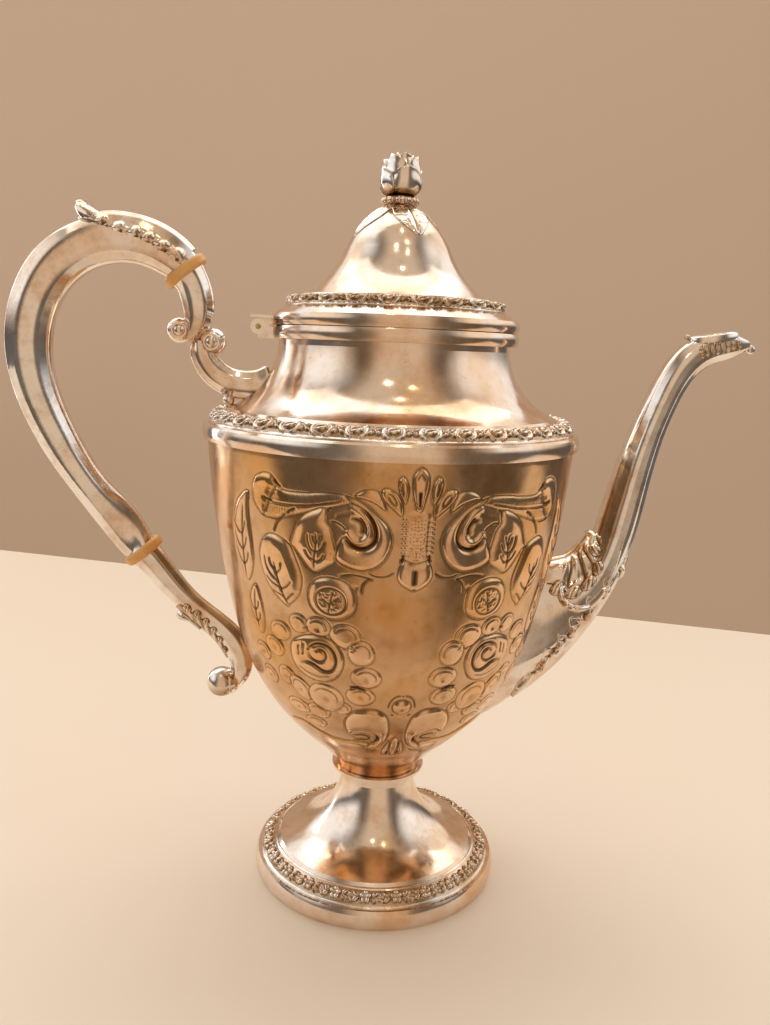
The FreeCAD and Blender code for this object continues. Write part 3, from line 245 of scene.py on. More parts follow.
turnedSilver = silverFinish("turnedSilver", film=0.28, lines=0.8, dull=1.6)
castSilver = silverFinish("castSilver", film=0.06, patina=0.35, dull=1.3)
chasedSilver = silverFinish("chasedSilver", film=0.70, patina=0.5, dull=1.3)
garlandSilver = silverFinish("garlandSilver", film=0.1, patina=0.5, dull=1.3)
ivory = ivoryFinish()
brass = brassFinish()
nodeFinish = {
    "upper_insulator": ivory, "lower_insulator": ivory,
    "finial_washer": brass, "finial_nut": brass, "hinge_pin": brass,
}
turnedNodes = ("foot_rim", "foot", "stem_collar", "bowl", "shoulder_moulding", "neck", "neck_rim",
               "lid_rim", "lid_bezel", "lid_dome", "finial_collar")
for nodeName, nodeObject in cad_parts.items():
    finish = nodeFinish.get(nodeName, turnedSilver if nodeName in turnedNodes else castSilver)
    nodeObject.data.materials.clear()
    nodeObject.data.materials.append(finish)
print("finishes made")


# Pieces

def finishPiece(name, bm, material, body, replaced, shape=None):
    # shape moves the points: it takes them in mm and gives them back with their tarnish, which on some
    # pieces also holds painted shade
    for face in bm.faces:
        face.smooth = True
    mesh = bpy.data.meshes.new(name)
    bm.to_mesh(mesh)
    bm.free()
    if shape:
        places = np.empty(3 * len(mesh.vertices))
        mesh.vertices.foreach_get("co", places)
        places, tarnish = shape(places.reshape(-1, 3) / mm)
        mesh.vertices.foreach_set("co", (places * mm).ravel())
        mesh.attributes.new("tarnish", "FLOAT", "POINT").data.foreach_set("value", tarnish)
        mesh.update()
    mesh.materials.append(material)
    piece = bpy.data.objects.new(name, mesh)
    scene.collection.objects.link(piece)
    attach(piece, body)
    if replaced:
        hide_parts(*replaced)


def smoothLine(points, closed=False, perSpan=8):
    # Catmull-Rom line through the points
    p = [np.array(q, float) for q in points]
    count = len(p) if closed else len(p) - 1
    line = []
    for i in range(count):
        if closed:
            a, b, c, d = (p[(i + k) % len(p)] for k in (-1, 0, 1, 2))
        else:
            a, b, c, d = p[max(i - 1, 0)], p[i], p[i + 1], p[min(i + 2, len(p) - 1)]
        for k in range(perSpan):
            t = k / perSpan
            line.append(0.5 * (2 * b + (c - a) * t + (2 * a - 5 * b + 4 * c - d) * t ** 2
                               + (3 * b - a - 3 * c + d) * t ** 3))
    line.append(p[0] if closed else p[-1])
    return np.array(line)


def lengthsAlong(line):
    return np.concatenate([[0.0], np.cumsum(np.hypot(*np.diff(line, axis=0).T))])


def outwardOf(line):
    # unit directions square to a flat line, to its right
    way = np.gradient(line, axis=0)
    return np.stack([way[:, 1], -way[:, 0]], axis=1) / np.hypot(*way.T)[:, None]


def turnAll(bm, degrees, axis):
    turn = Matrix.Rotation(math.radians(degrees), 3, axis)
    bmesh.ops.rotate(bm, cent=(0, 0, 0), matrix=turn, verts=bm.verts[:])


def moveAll(bm, x, y, z):
    bmesh.ops.translate(bm, vec=(x * mm, y * mm, z * mm), verts=bm.verts[:])


def vertsOf(made):
    return [g for g in made if isinstance(g, bmesh.types.BMVert)]


def spinSection(bm, section, stretches):
    # turns a closed section round the axis; stretches are (angle, strips, steps in a strip)
    # each strip is spun once and copied, because a long spin is slow
    start = 0.0
    for angle, strips, steps in stretches:
        turn = math.radians(angle / strips)
        ring = [bm.verts.new((r * mm, 0.0, z * mm)) for r, z in section]
        edges = [bm.edges.new(pair) for pair in zip(ring, ring[1:] + ring[:1])]
        bmesh.ops.rotate(bm, cent=(0, 0, 0), matrix=Matrix.Rotation(start, 3, "Z"), verts=ring)
        old = set(bm.verts) - set(ring)
        bmesh.ops.spin(bm, geom=ring + edges, cent=(0, 0, 0), axis=(0, 0, 1), dvec=(0, 0, 0), angle=turn,
                       steps=steps, use_merge=False, use_duplicate=False)
        strip = [f for f in bm.faces if f.verts[0] not in old]
        for i in range(1, strips):
            copy = bmesh.ops.duplicate(bm, geom=strip)["geom"]
            bmesh.ops.rotate(bm, cent=(0, 0, 0), matrix=Matrix.Rotation(turn * i, 3, "Z"),
                             verts=vertsOf(copy))
        start += math.radians(angle)
    bmesh.ops.remove_doubles(bm, verts=bm.verts[:], dist=1e-6)


# Relief: a height in mm and a tarnish share, which on hooked leaf lobes also holds painted shade, over a
# sheet that is laid on a surface later

def reliefSheet(uLow, uHigh, uStep, vLow, vHigh, vStep, scale=None, stretch=None, swell=0.5):
    u = np.arange(uLow, uHigh + uStep, uStep)
    v = np.arange(vLow, vHigh + vStep, vStep)
    return {
        "u": u, "v": v,
        "scale": np.ones(len(v)) if scale is None else scale(v),      # mm for a step of one along u
        "stretch": np.ones(len(v)) if stretch is None else stretch(v),
        "swell": swell,       # 0.5 raises a form as a round cushion, 1.0 as a gentle dome
        "height": np.zeros((len(v), len(u))),
        "tarnish": np.zeros((len(v), len(u))),
    }


def lineField(sheet, line, reach):
    # distance in mm to a line and the share of it passed at the nearest point
    # both cover only the window that the line can touch
    u, v = sheet["u"], sheet["v"]
    top, end = np.searchsorted(v, (line[:, 1].min() - reach, line[:, 1].max() + reach))
    side = reach / sheet["scale"][top:end].min() if end > top else 0.0
    left, right = np.searchsorted(u, (line[:, 0].min() - side, line[:, 0].max() + side))
    window = np.s_[top:end, left:right]
    u, v = u[None, left:right], v[top:end, None]
    scale, rise = sheet["scale"][top:end, None], sheet["stretch"][top:end, None]
    far = np.full((v.size, u.size), reach * 9.0)
    along = np.zeros_like(far)
    for i, ((ua, va), (ub, vb)) in enumerate(zip(line[:-1], line[1:])):
        low, high = np.searchsorted(v[:, 0], (min(va, vb) - reach, max(va, vb) + reach))
        near, away = np.searchsorted(u[0], (min(ua, ub) - side, max(ua, ub) + side))
        part = np.s_[low:high, near:away]
        pu, pv = (u[:, near:away] - ua) * scale[low:high], (v[low:high] - va) * rise[low:high]
        du, dv = (ub - ua) * scale[low:high], (vb - va) * rise[low:high]
        t = np.clip((pu * du + pv * dv) / (du * du + dv * dv + 1e-9), 0.0, 1.0)
        d = np.hypot(pu - t * du, pv - t * dv)
        nearer = d < far[part]
        np.copyto(far[part], d, where=nearer)
        np.copyto(along[part], (i + t) / (len(line) - 1), where=nearer)
    return window, far, along


def spotField(sheet, centre, reach):
    return lineField(sheet, np.array([centre, (centre[0], centre[1] + 0.01)]), reach)


def insideOf(sheet, line, window):
    u, v = sheet["u"][None, window[1]], sheet["v"][window[0], None]
    inside = np.zeros((v.size, u.size), bool)
    for (ua, va), (ub, vb) in zip(line[:-1], line[1:]):
        if va != vb:
            inside ^= ((va > v) != (vb > v)) & (u < ua + (v - va) / (vb - va) * (ub - ua))
    return inside


def darken(sheet, window, shade):
    sheet["tarnish"][window] = np.maximum(sheet["tarnish"][window], shade)


def groove(sheet, points, width, depth, dark=0.9, ends=0.15, smooth=True):
    # chased line that fades at both ends
    line = smoothLine(points) if smooth else np.array(points, float)
    window, far, along = lineField(sheet, line, width * 3.0)
    fade = np.clip(np.minimum(along, 1.0 - along) / max(ends, 1e-6), 0.0, 1.0) ** 0.5 if ends else 1.0
    sheet["height"][window] -= depth * fade * np.exp(-(far / width) ** 2)
    darken(sheet, window, dark * fade * np.exp(-(far / (0.85 * width)) ** 2))


def ridge(sheet, points, width, height, ends=0.2):
    # rounded raised line, bright where it passes over a dark ground
    window, far, along = lineField(sheet, smoothLine(points), width * 3.0)
    fade = np.clip(np.minimum(along, 1.0 - along) / ends, 0.0, 1.0) ** 0.5
    share = fade * np.exp(-(far / width) ** 2)
    sheet["height"][window] += height * share
    sheet["tarnish"][window] *= 1.0 - 0.85 * share


def pillow(sheet, outline, height, edge, line=0.27, dark=0.7):
    # rounded raised form with a chased line round it
    around = smoothLine(outline, closed=True)
    window, far, _ = lineField(sheet, around, max(edge, 3.0 * line))
    inside = insideOf(sheet, around, window)
    old, shade = sheet["height"][window], sheet["tarnish"][window]
    rise = height * (1.0 - (1.0 - np.clip(far / edge, 0.0, 1.0)) ** 2) ** sheet["swell"]
    raised = np.where(inside, np.maximum(0.35 * old, rise), old)
    shade = np.where(inside & (far > line), 0.25 * shade, shade)
    if line:
        raised = raised - 0.9 * line * np.exp(-(far / line) ** 2)
        shade = np.maximum(shade, dark * np.exp(-(far / (0.9 * line)) ** 2))
    sheet["height"][window], sheet["tarnish"][window] = raised, shade


def roundOutline(sheet, centre, wide, high, turn=0.0, count=14):
    # ellipse in mm round a point of the sheet
    scale = float(np.interp(centre[1], sheet["v"], sheet["scale"]))
    stretch = float(np.interp(centre[1], sheet["v"], sheet["stretch"]))
    c, s = math.cos(math.radians(turn)), math.sin(math.radians(turn))
    outline = []
    for i in range(count):
        a = 2.0 * math.pi * i / count
        x, y = wide * math.cos(a), high * math.sin(a)
        outline.append((centre[0] + (x * c - y * s) / scale, centre[1] + (x * s + y * c) / stretch))
    return outline


def dimple(sheet, centre, radius, depth, dark=0.5):
    window, far, _ = spotField(sheet, centre, radius * 2.2)
    sheet["height"][window] -= depth * np.exp(-(far / radius) ** 2)
    darken(sheet, window, dark * np.exp(-(far / (0.8 * radius)) ** 2))


def bead(sheet, centre, radius, height):
    window, far, _ = spotField(sheet, centre, radius * 1.2)
    dome = np.sqrt(np.clip(1.0 - (far / radius) ** 2, 0.0, 1.0))
    sheet["height"][window] += height * dome
    sheet["tarnish"][window] *= 1.0 - 0.8 * dome


def stippleIn(sheet, outline, spacing, depth, seed):
    # matting punch marks inside an outline
    rng = np.random.default_rng(seed)
    line = smoothLine(outline, closed=True)
    scale = float(np.interp(line[:, 1].mean(), sheet["v"], sheet["scale"]))
    whole = np.s_[0:len(sheet["v"]), 0:len(sheet["u"])]
    inside = insideOf(sheet, line, whole)
    for v in np.arange(line[:, 1].min(), line[:, 1].max(), spacing):
        for u in np.arange(line[:, 0].min(), line[:, 0].max(), spacing / scale):
            cu, cv = u + rng.uniform(-0.3, 0.3) * spacing / scale, v + rng.uniform(-0.3, 0.3) * spacing
            row, column = np.searchsorted(sheet["v"], cv), np.searchsorted(sheet["u"], cu)
            if row < len(sheet["v"]) and column < len(sheet["u"]) and inside[row, column]:
                dimple(sheet, (cu, cv), 0.3 * spacing, depth, 0.7)


def sampleSheet(sheet, field, u, v):
    column = np.clip((u - sheet["u"][0]) / (sheet["u"][1] - sheet["u"][0]), 0, len(sheet["u"]) - 1.001)
    row = np.clip((v - sheet["v"][0]) / (sheet["v"][1] - sheet["v"][0]), 0, len(sheet["v"]) - 1.001)
    i, j = row.astype(int), column.astype(int)
    fi, fj = row - i, column - j
    f = sheet[field]
    return (f[i, j] * (1 - fi) * (1 - fj) + f[i, j + 1] * (1 - fi) * fj
            + f[i + 1, j] * fi * (1 - fj) + f[i + 1, j + 1] * fi * fj)


# Bowl with its chased flowers and scrolls: outer line as (radius, height, bulge radius), in mm
bowl = {
    "base": 40.0,
    "side": [(15.0, 40.0, 0), (15.0, 41.5, 0), (26.0, 53.2, -79.0), (51.9, 95.0, 84.0),
             (62.2, 158.0, 331.0), (62.2, 163.0, 0)],
    "wall": 1.1,
    "floor": 1.4,
    "turn": 0.7,          # the palmette stands this far round from the front, in degrees
    "ornament": 63.5,     # ornament's half width, in degrees
    "low": 54.0,
    "high": 160.5,
    "step": 0.33,
    "plainStep": 1.2,
    "stripSteps": 15,
    "plainSteps": 12,     # round the undecorated part of a quarter
    "stripRadius": 58.0,  # where a strip's steps are counted
    "lineStep": 0.2,
    "insideStep": 7.0,
    "skin": 0.12,         # points this near the outer line are chased
    # degrees and heights that the drawing covers, each with its step
    "sheet": (-3.0, 66.0, 0.2, 52.0, 162.0, 0.2),
    "swell": 0.8,
    "depth": 0.85,
    "ground": 0.21,       # tarnish of the plain ground
}


def arcLine(start, end, radius, step):
    # points from start to end on an arc; a positive radius bulges outwards
    a, b = np.array(start, float), np.array(end, float)
    span = b - a
    length = np.linalg.norm(span)
    count = max(1, int(round(length / step)))
    share = np.linspace(0.0, 1.0, count + 1)
    if not radius:
        return [tuple(a + span * t) for t in share[1:]]
    across = np.array([span[1], -span[0]]) / length
    reach = math.sqrt(radius ** 2 - length ** 2 / 4.0)
    centre = (a + b) / 2.0 - across * reach * math.copysign(1.0, radius)
    first = math.atan2(a[1] - centre[1], a[0] - centre[0])
    sweep = 2.0 * math.asin(length / 2.0 / abs(radius)) * math.copysign(1.0, radius)
    return [(centre[0] + abs(radius) * math.cos(first + sweep * t),
             centre[1] + abs(radius) * math.sin(first + sweep * t)) for t in share[1:]]


def profileLine(corners, step):
    line = [corners[0][:2]]
    for (r0, z0, _), (r1, z1, bulge) in zip(corners[:-1], corners[1:]):
        line += arcLine((r0, z0), (r1, z1), bulge, step)
    return line


bowlLine = np.array(profileLine(bowl["side"], bowl["lineStep"]))


def bowlRadius(z):
    return np.interp(z, bowlLine[:, 1], bowlLine[:, 0])


def bowlSlope(z):
    return (bowlRadius(z + 0.3) - bowlRadius(z - 0.3)) / 0.6


def veins(sheet, lines):
    for line in lines:
        groove(sheet, line, 0.36, 0.38)


def hatch(sheet, top, bottom):
    # short fine stroke
    groove(sheet, [top, bottom], 0.22, 0.16, 0.6, 0.1, False)


def bothSides(half):
    # closed outline from its half, which starts and ends on the middle line
    return half + [(-u, v) for u, v in half[-2:0:-1]]


def drawOuterLeaves(sheet):
    # leaves at the outer side
    pillow(sheet, [(51.7, 147), (55, 145.8), (58.5, 142.5), (61, 137), (62, 131), (61.5, 125), (59, 119.5),
                   (57, 117.5), (54.5, 120), (52.5, 125), (52, 131), (52.3, 137), (52.3, 142)], 1.0, 3.0)
    groove(sheet, [(57, 118.5), (56.6, 126), (55.8, 134), (54.2, 143)], 0.4, 0.4)
    for z in (123, 128, 133):
        groove(sheet, [(56.6, z), (58.5, z + 1.5), (59.8, z + 4.5)], 0.33, 0.3)
        groove(sheet, [(56.6, z), (54.9, z + 1.8), (54.0, z + 4.5)], 0.33, 0.3)
    pillow(sheet, [(53, 117), (56, 115), (58.5, 110), (58, 104), (55.5, 100), (53, 101), (51.5, 106),
                   (51.5, 112)], 0.8, 2.6)
    groove(sheet, [(54.6, 101.5), (55.2, 106), (54.6, 111), (53.6, 115.5)], 0.4, 0.35)
    for z in (104, 108):
        groove(sheet, [(55, z), (56.6, z + 1.4), (57.2, z + 3.6)], 0.33, 0.3)
        groove(sheet, [(55, z), (53.4, z + 1.4), (52.8, z + 3.6)], 0.33, 0.3)
    pillow(sheet, [(44.2, 135), (40.7, 134.6), (37.2, 132.5), (35.2, 128), (33.7, 123), (34.2, 119),
                   (35.7, 116), (38.7, 113.3), (39.7, 112.5), (43.7, 115), (47.2, 119), (49, 124),
                   (49.2, 129), (47.2, 133)], 1.35, 4.2)
    groove(sheet, [(39.3, 112.8), (40.8, 118), (42, 122), (42.8, 127)], 0.42, 0.45)
    veins(sheet, [
        [(46.2, 128.5), (46, 125.5), (44.5, 122.8), (42.3, 121.0)],
        [(39.9, 127.2), (40.4, 124.8), (42.2, 123)],
        [(46.8, 121.6), (44.5, 119.9), (41.5, 119)], [(36.9, 121.4), (38.6, 119.5), (40.9, 118.2)],
        [(45.2, 116.8), (42.5, 116.5), (40.4, 116)], [(36.4, 117.6), (38, 116.3), (39.6, 114.6)],
        [(44.2, 128.2), (43.9, 125.9), (42.6, 124.4)],
    ])


def drawMainScroll(sheet):
    # main scroll: tail, curl and volute
    pillow(sheet, [(40.2, 150.2), (38.2, 149.0), (34.7, 148.8), (30.7, 149.0), (26.7, 149.5), (22.7, 149.6),
                   (19.7, 149.1), (17.5, 147.5), (22.7, 145.8), (27.7, 144.4), (32.7, 142.8), (38.7, 140.9),
                   (42.5, 140.2), (46, 140.7), (44.6, 143), (43.2, 146), (41.9, 148.5)], 0.7, 3.0)
    groove(sheet, [(44.6, 145.2), (38.7, 145.0), (32.7, 145.3), (26.7, 146.2), (21, 147.6)], 0.3, 0.3)
    pillow(sheet, [(41.7, 152.5), (43.2, 153.4), (45.7, 153.3), (48.2, 152), (49.7, 149.5), (50.1, 146.5),
                   (49.5, 144), (47.7, 141.8), (46, 140.7), (44.6, 143), (43.2, 146), (41.9, 148.5),
                   (40.5, 150.0)], 1.0, 3.0)
    groove(sheet, [(45.3, 146.6), (43.8, 145.6), (42, 145.2)], 0.5, 0.4)
    groove(sheet, [(41.6, 151.9), (40.6, 150.6), (39.2, 149.6)], 0.5, 0.4)
    for i in range(34):
        a = 43.0 - 0.72 * i
        top = float(np.interp(a, [17, 22.7, 30.7, 38.2, 44], [148.4, 149.2, 148.6, 148.5, 148.4]))
        hatch(sheet, (a, top), (a + 0.5, top - 2.6))
    for i in range(13):
        a = 45.0 - 0.85 * i
        hatch(sheet, (a, 144.2), (a + 0.7, 141.6))
    pillow(sheet, [(17.3, 149.2), (15.3, 150.9), (12.7, 151.4), (10.5, 150.6), (9.3, 148.5), (9.0, 145.5),
                   (12, 147.5), (15, 148.6)], 0.6, 1.4)
    pillow(sheet, [(19.7, 149.1), (16.7, 148.0), (13.7, 146.3), (11.2, 144.0), (8.7, 141.5), (7.5, 139),
                   (7.0, 136.5), (7.5, 133.5), (8.9, 130.5), (11.2, 128.2), (14.2, 127.0), (17.2, 127.1),
                   (19.7, 127.9), (21.7, 129.0), (23.0, 131), (21.7, 134.5), (20.0, 136.9), (18.7, 134.9),
                   (16.7, 133.7), (14.5, 133.7), (12.5, 134.9), (11.4, 137.0), (11.4, 139.5), (12.2, 142.0),
                   (13.7, 144.3), (15.7, 146.0), (18, 147.2)], 1.3, 2.6, 0.36)
    ridge(sheet, [(18.5, 146.2), (15.4, 144.2), (13.6, 141.5), (13.2, 138.6), (14.4, 136.4), (16.5, 135.8),
                  (18.4, 137.2), (19.3, 139.2)], 0.8, 0.9)
    groove(sheet, [(15.7, 146.0), (13.7, 144.3), (12.2, 142.0), (11.4, 139.5), (11.4, 137.0), (12.5, 134.9),
                   (14.5, 133.7), (16.7, 133.7), (18.7, 134.9), (20.2, 137.2)], 0.55, 0.55, 1.0)
    groove(sheet, [(18.2, 142.6), (15.9, 141.8), (14.8, 139.8), (15.3, 137.8)], 0.9, 0.8, 0.8)
    groove(sheet, [(24.2, 141.2), (22.6, 141.2), (20.8, 140.2), (19.6, 138.9)], 0.35, 0.35)
    groove(sheet, [(23.2, 145.2), (24.8, 144.6), (25.2, 142.6)], 0.35, 0.3)
    for i in range(9):
        t = i / 8.0
        a, z = 17.5 + 4.5 * t, 145.2 - 1.4 * t
        hatch(sheet, (a, z), (a + 0.5, z - 1.6))


def drawScrollLeaf(sheet):
    # leaf under the scroll
    pillow(sheet, [(36.7, 133), (35.2, 137), (33.2, 141), (29.7, 143.8), (26.2, 145.2), (25, 144),
                   (25.2, 141), (23.9, 139), (23.2, 136), (22.5, 132), (23.2, 129), (25.2, 127.5),
                   (28.7, 125.4), (31.2, 126.5), (33.2, 129), (35.2, 131.5)], 1.4, 4.2)
    groove(sheet, [(29.3, 126), (28.8, 130), (28.2, 134), (28.0, 138)], 0.42, 0.45)
    veins(sheet, [
        [(28.9, 129.3), (30.6, 130.4), (31.6, 132.6)],
        [(28.6, 131.8), (29.9, 133), (30.6, 135.4), (30.4, 137.4)],
        [(28.9, 128.8), (27, 129.7), (25.7, 131.7)], [(28.4, 131.8), (26.6, 133), (25.5, 135.4)],
        [(28.2, 134.5), (27.2, 135.7), (26.6, 137.6)], [(28.4, 134.2), (29.0, 135.6), (29.1, 137.2)],
    ])
    groove(sheet, [(42.2, 136), (40.8, 139), (39, 141), (37.5, 142.3)], 0.45, 0.35)
    groove(sheet, [(37.2, 142.3), (35.8, 143.5), (34.2, 144.2)], 0.5, 0.45, 1.0)


def drawRoundLeaf(sheet):
    # stippled round leaf and the cartouche's cusp
    pillow(sheet, [(31.7, 117), (30.9, 120.5), (28.7, 123), (24.7, 124), (20.5, 123.2), (17.7, 120.8),
                   (16.9, 117), (17.8, 113.5), (21, 111.2), (25, 110.6), (28.8, 111.8), (31, 114)],
           1.1, 2.6)
    inner = roundOutline(sheet, (24.4, 116.8), 4.6, 4.3)
    groove(sheet, inner + inner[:1], 0.4, 0.35, 0.8, 0.0)
    stippleIn(sheet, roundOutline(sheet, (24.4, 116.8), 3.9, 3.6), 0.95, 0.22, 5)
    groove(sheet, [(25.2, 112.8), (24.6, 116), (23.4, 120.4)], 0.36, 0.35)
    groove(sheet, [(27.6, 117.6), (25.6, 116.4), (24.8, 115)], 0.3, 0.3)
    groove(sheet, [(21.4, 118.4), (23.2, 117.2), (24.2, 115.8)], 0.3, 0.3)
    groove(sheet, [(22, 124.8), (18, 125.5), (14.5, 125), (12, 124.4)], 0.4, 0.3)
    groove(sheet, [(15.5, 119.5), (15.1, 122.3), (13.9, 123.9), (12.2, 124.5)], 0.4, 0.3)
    groove(sheet, [(13.5, 126.5), (11, 125.4), (8, 125.6), (5.8, 127)], 0.36, 0.3)
    dimple(sheet, (16.9, 121.4), 0.9, 0.35, 0.4)


def drawPalmette(sheet):
    # palmette with its beaded stem and drop
    pillow(sheet, [(9.6, 151.9), (10.3, 150.6), (9.8, 149), (8.4, 147.2), (6.6, 145.4), (4.8, 143.9),
                   (4.2, 145.5), (4.6, 148), (6.0, 150.4), (7.8, 151.7)], 0.9, 1.5)
    groove(sheet, [(8.8, 150.6), (7.4, 150.1), (6.3, 148.3), (6.6, 147.2), (8.0, 148.6), (8.8, 150.2)],
           0.3, 0.3)
    pillow(sheet, [(4.9, 155.6), (5.9, 154.2), (5.7, 151.5), (4.8, 149), (3.9, 147.5), (3.2, 149.5),
                   (3.0, 152), (3.7, 154.5)], 0.9, 1.2)
    groove(sheet, [(4.7, 154.0), (4.9, 152.2), (4.3, 150)], 0.35, 0.3)
    pillow(sheet, bothSides([(0, 158.3), (1.4, 157.2), (2.3, 155), (2.2, 152), (1.6, 149), (0.9, 146),
                             (0, 144.5)]), 1.0, 1.8)
    groove(sheet, [(0, 151.5), (0, 149), (0, 146.5)], 0.5, 0.5, 1.0)
    groove(sheet, [(1.2, 154.5), (0, 156.4), (-1.2, 154.5)], 0.3, 0.25)
    pillow(sheet, bothSides([(0, 145.6), (3.0, 144.8), (2.9, 140), (3.0, 135), (3.4, 130.5), (0, 130)]),
           0.25, 1.2, 0.0)
    stippleIn(sheet, [(2.2, 143.8), (2.2, 137), (2.5, 131.4), (-2.5, 131.4), (-2.2, 137), (-2.2, 143.8)],
              1.0, 0.2, 9)
    for i in range(9):
        bead(sheet, (3.75, 143.0 - 1.42 * i), 0.62, 0.55)
        dimple(sheet, (3.75, 142.3 - 1.42 * i), 0.32, 0.3, 0.9)
        groove(sheet, [(2.6, 142.4 - 1.42 * i), (4.6, 142.2 - 1.42 * i)], 0.2, 0.15, 0.5, 0.1, False)
    groove(sheet, [(3.7, 132.4), (3.8, 131), (3.9, 129.6)], 0.55, 0.5, 1.0)
    pillow(sheet, bothSides([(0, 129.8), (3.2, 130.6), (4.6, 128.6), (5.0, 125.5), (3.9, 123.4), (2, 121.9),
                             (0, 121)]), 1.0, 2.2)
    groove(sheet, [(0.1, 128.2), (0.1, 125.5), (0.1, 123)], 0.6, 0.5, 0.9)
    dimple(sheet, (0.0, 121.6), 0.6, 0.3, 0.9)


def drawRoseSpray(sheet):
    # rose and the round petals about it
    for centre, wide, high, turn, hollow in (
            ((56.0, 93.5), 3.6, 3.4, 0, 1.2), ((55.8, 85.0), 3.4, 3.6, 0, 1.3),
            ((48.7, 97.0), 4.2, 3.7, 10, 1.5), ((45.7, 87.2), 3.5, 3.8, 20, 1.4),
            ((44.6, 103.2), 4.3, 3.6, -15, 0.0), ((40.0, 83.6), 3.6, 5.2, -25, 0.9),
            ((36.4, 107.3), 3.4, 3.4, 0, 0.0), ((29.3, 107.3), 4.1, 3.5, 0, 0.9),
            ((20.4, 105.2), 4.9, 4.2, 0, 0.0), ((15.2, 99.8), 4.1, 4.5, 0, 0.0),
            ((13.6, 91.2), 4.8, 4.0, 0, 1.3), ((15.7, 84.0), 4.6, 4.0, 0, 1.4),
            ((34.6, 75.4), 4.2, 3.4, 0, 0.0), ((23.6, 78.4), 3.2, 3.0, 0, 0.8),
            ((29.6, 81.8), 6.0, 6.0, 0, 2.0), ((45.0, 75.5), 4.4, 3.4, 0, 1.0),
            ((38.6, 70.0), 4.0, 2.6, 0, 0.0)):
        pillow(sheet, roundOutline(sheet, centre, wide, high, turn), 0.5, 0.5 * min(wide, high), 0.24, 0.65)
        if hollow:
            dimple(sheet, (centre[0], centre[1] - 0.6), hollow, 0.4, 0.35)
        groove(sheet, roundOutline(sheet, centre, 0.66 * wide, 0.66 * high, turn)[1:9], 0.28, 0.28, 0.7)
    groove(sheet, [(19.8, 87.3), (17, 87.4), (13.5, 86.6)], 0.5, 0.4, 1.0)
    dimple(sheet, (33.8, 106.4), 0.6, 0.4, 0.9)
    stippleIn(sheet, roundOutline(sheet, (18.4, 102.0), 1.4, 1.4), 0.8, 0.2, 3)
    stippleIn(sheet, roundOutline(sheet, (18.8, 89.0), 1.6, 1.6), 0.8, 0.2, 4)
    pillow(sheet, [(41.2, 97), (39.7, 101), (34.7, 103.6), (29.7, 104.2), (24.7, 103), (21.7, 99.5),
                   (21.2, 95.5), (23.2, 91), (26.7, 88.6), (31.7, 88), (36.7, 89.4), (40.2, 92.5)],
           1.7, 4.4, 0.36)
    groove(sheet, [(36.8, 94.4), (34.5, 95.3), (32, 95), (30.2, 94), (28, 93), (25.5, 93.3), (23.9, 95.2),
                   (23.6, 97.8), (24.6, 100.2), (26.5, 101.7), (29.3, 102.1), (31.8, 101.2), (33, 99.4)],
           0.62, 0.6, 0.9)
    groove(sheet, [(33.0, 99.2), (32.3, 97.2), (30.6, 96.2), (28.6, 96.2), (27.1, 97.2), (26.8, 98.8),
                   (27.7, 100.1), (29.2, 100.3), (30.4, 99.4)], 0.55, 0.5, 0.85)
    groove(sheet, [(35.2, 97.6), (34.9, 99.6), (34.4, 101.6)], 0.4, 0.4, 0.8)
    groove(sheet, [(36.8, 97.0), (36.9, 99.0), (36.5, 100.8)], 0.4, 0.35, 0.7)
    groove(sheet, [(38.0, 93.4), (34.5, 91.6), (30, 90.6), (25.6, 91.2)], 0.45, 0.35, 0.6)


def drawLowerScroll(sheet):
    # lower scroll with its long tail, the ball and the small palmette under it
    pillow(sheet, [(58.7, 66.5), (50.7, 67.8), (45.7, 67.2), (40.7, 65.4), (33.7, 63.4), (26, 63.0),
                   (20, 63.4), (14, 62.6), (15.7, 60.1), (25.7, 60.6), (33.7, 61.6), (40.7, 63.6),
                   (46, 65.2), (51, 66.0)], 0.7, 1.2)
    pillow(sheet, [(15.7, 60.1), (9.7, 61), (6.5, 63), (4.7, 65.5), (4.0, 69), (4.4, 73), (5.7, 76.3),
                   (9, 78.6), (13, 79), (17.5, 78), (21.2, 75.6), (23.3, 72.6), (23.7, 69.8), (22.7, 67.3),
                   (20, 68.6), (16.5, 69.6), (12.5, 69), (9.5, 67.3), (8.8, 65.2), (10, 63.3),
                   (12.7, 62.2)], 1.25, 2.6, 0.36)
    groove(sheet, [(22.4, 67.6), (20, 68.6), (16.5, 69.4), (12.5, 68.8), (9.7, 67.2), (9.2, 65.2),
                   (10.4, 63.6), (12.9, 62.8)], 0.6, 0.5, 1.0)
    groove(sheet, [(21, 66.2), (17, 66.7), (13.6, 66.1), (13.2, 65.0), (16, 64.3), (21, 64.2)],
           0.7, 0.4, 0.8)
    pillow(sheet, roundOutline(sheet, (0.0, 80.2), 3.0, 3.3), 1.3, 2.6, 0.36)
    dimple(sheet, (0.0, 79.6), 0.9, 0.4, 0.5)
    dimple(sheet, (0.0, 84.6), 0.5, 0.3, 0.9)
    dimple(sheet, (3.3, 76.8), 0.6, 0.3, 0.9)
    groove(sheet, [(5.4, 79.6), (4.6, 82.2), (3.0, 84.2), (0.6, 84.9)], 0.36, 0.3)
    pillow(sheet, bothSides([(0, 66.5), (1.7, 64.5), (2.2, 61), (1.5, 57.6), (0, 56.2)]), 0.8, 1.2)
    pillow(sheet, [(3.0, 64.5), (4.6, 61.8), (6.2, 58.8), (6.0, 56.8), (4.4, 57.0), (3.0, 59.2), (2.6, 62)],
           0.7, 1.0)
    groove(sheet, [(3.0, 58.4), (3.1, 57.2), (3.2, 56.0)], 0.55, 0.4, 1.0)
    groove(sheet, [(9.4, 59.2), (13, 57.9), (17, 57.6)], 0.45, 0.35, 0.9)


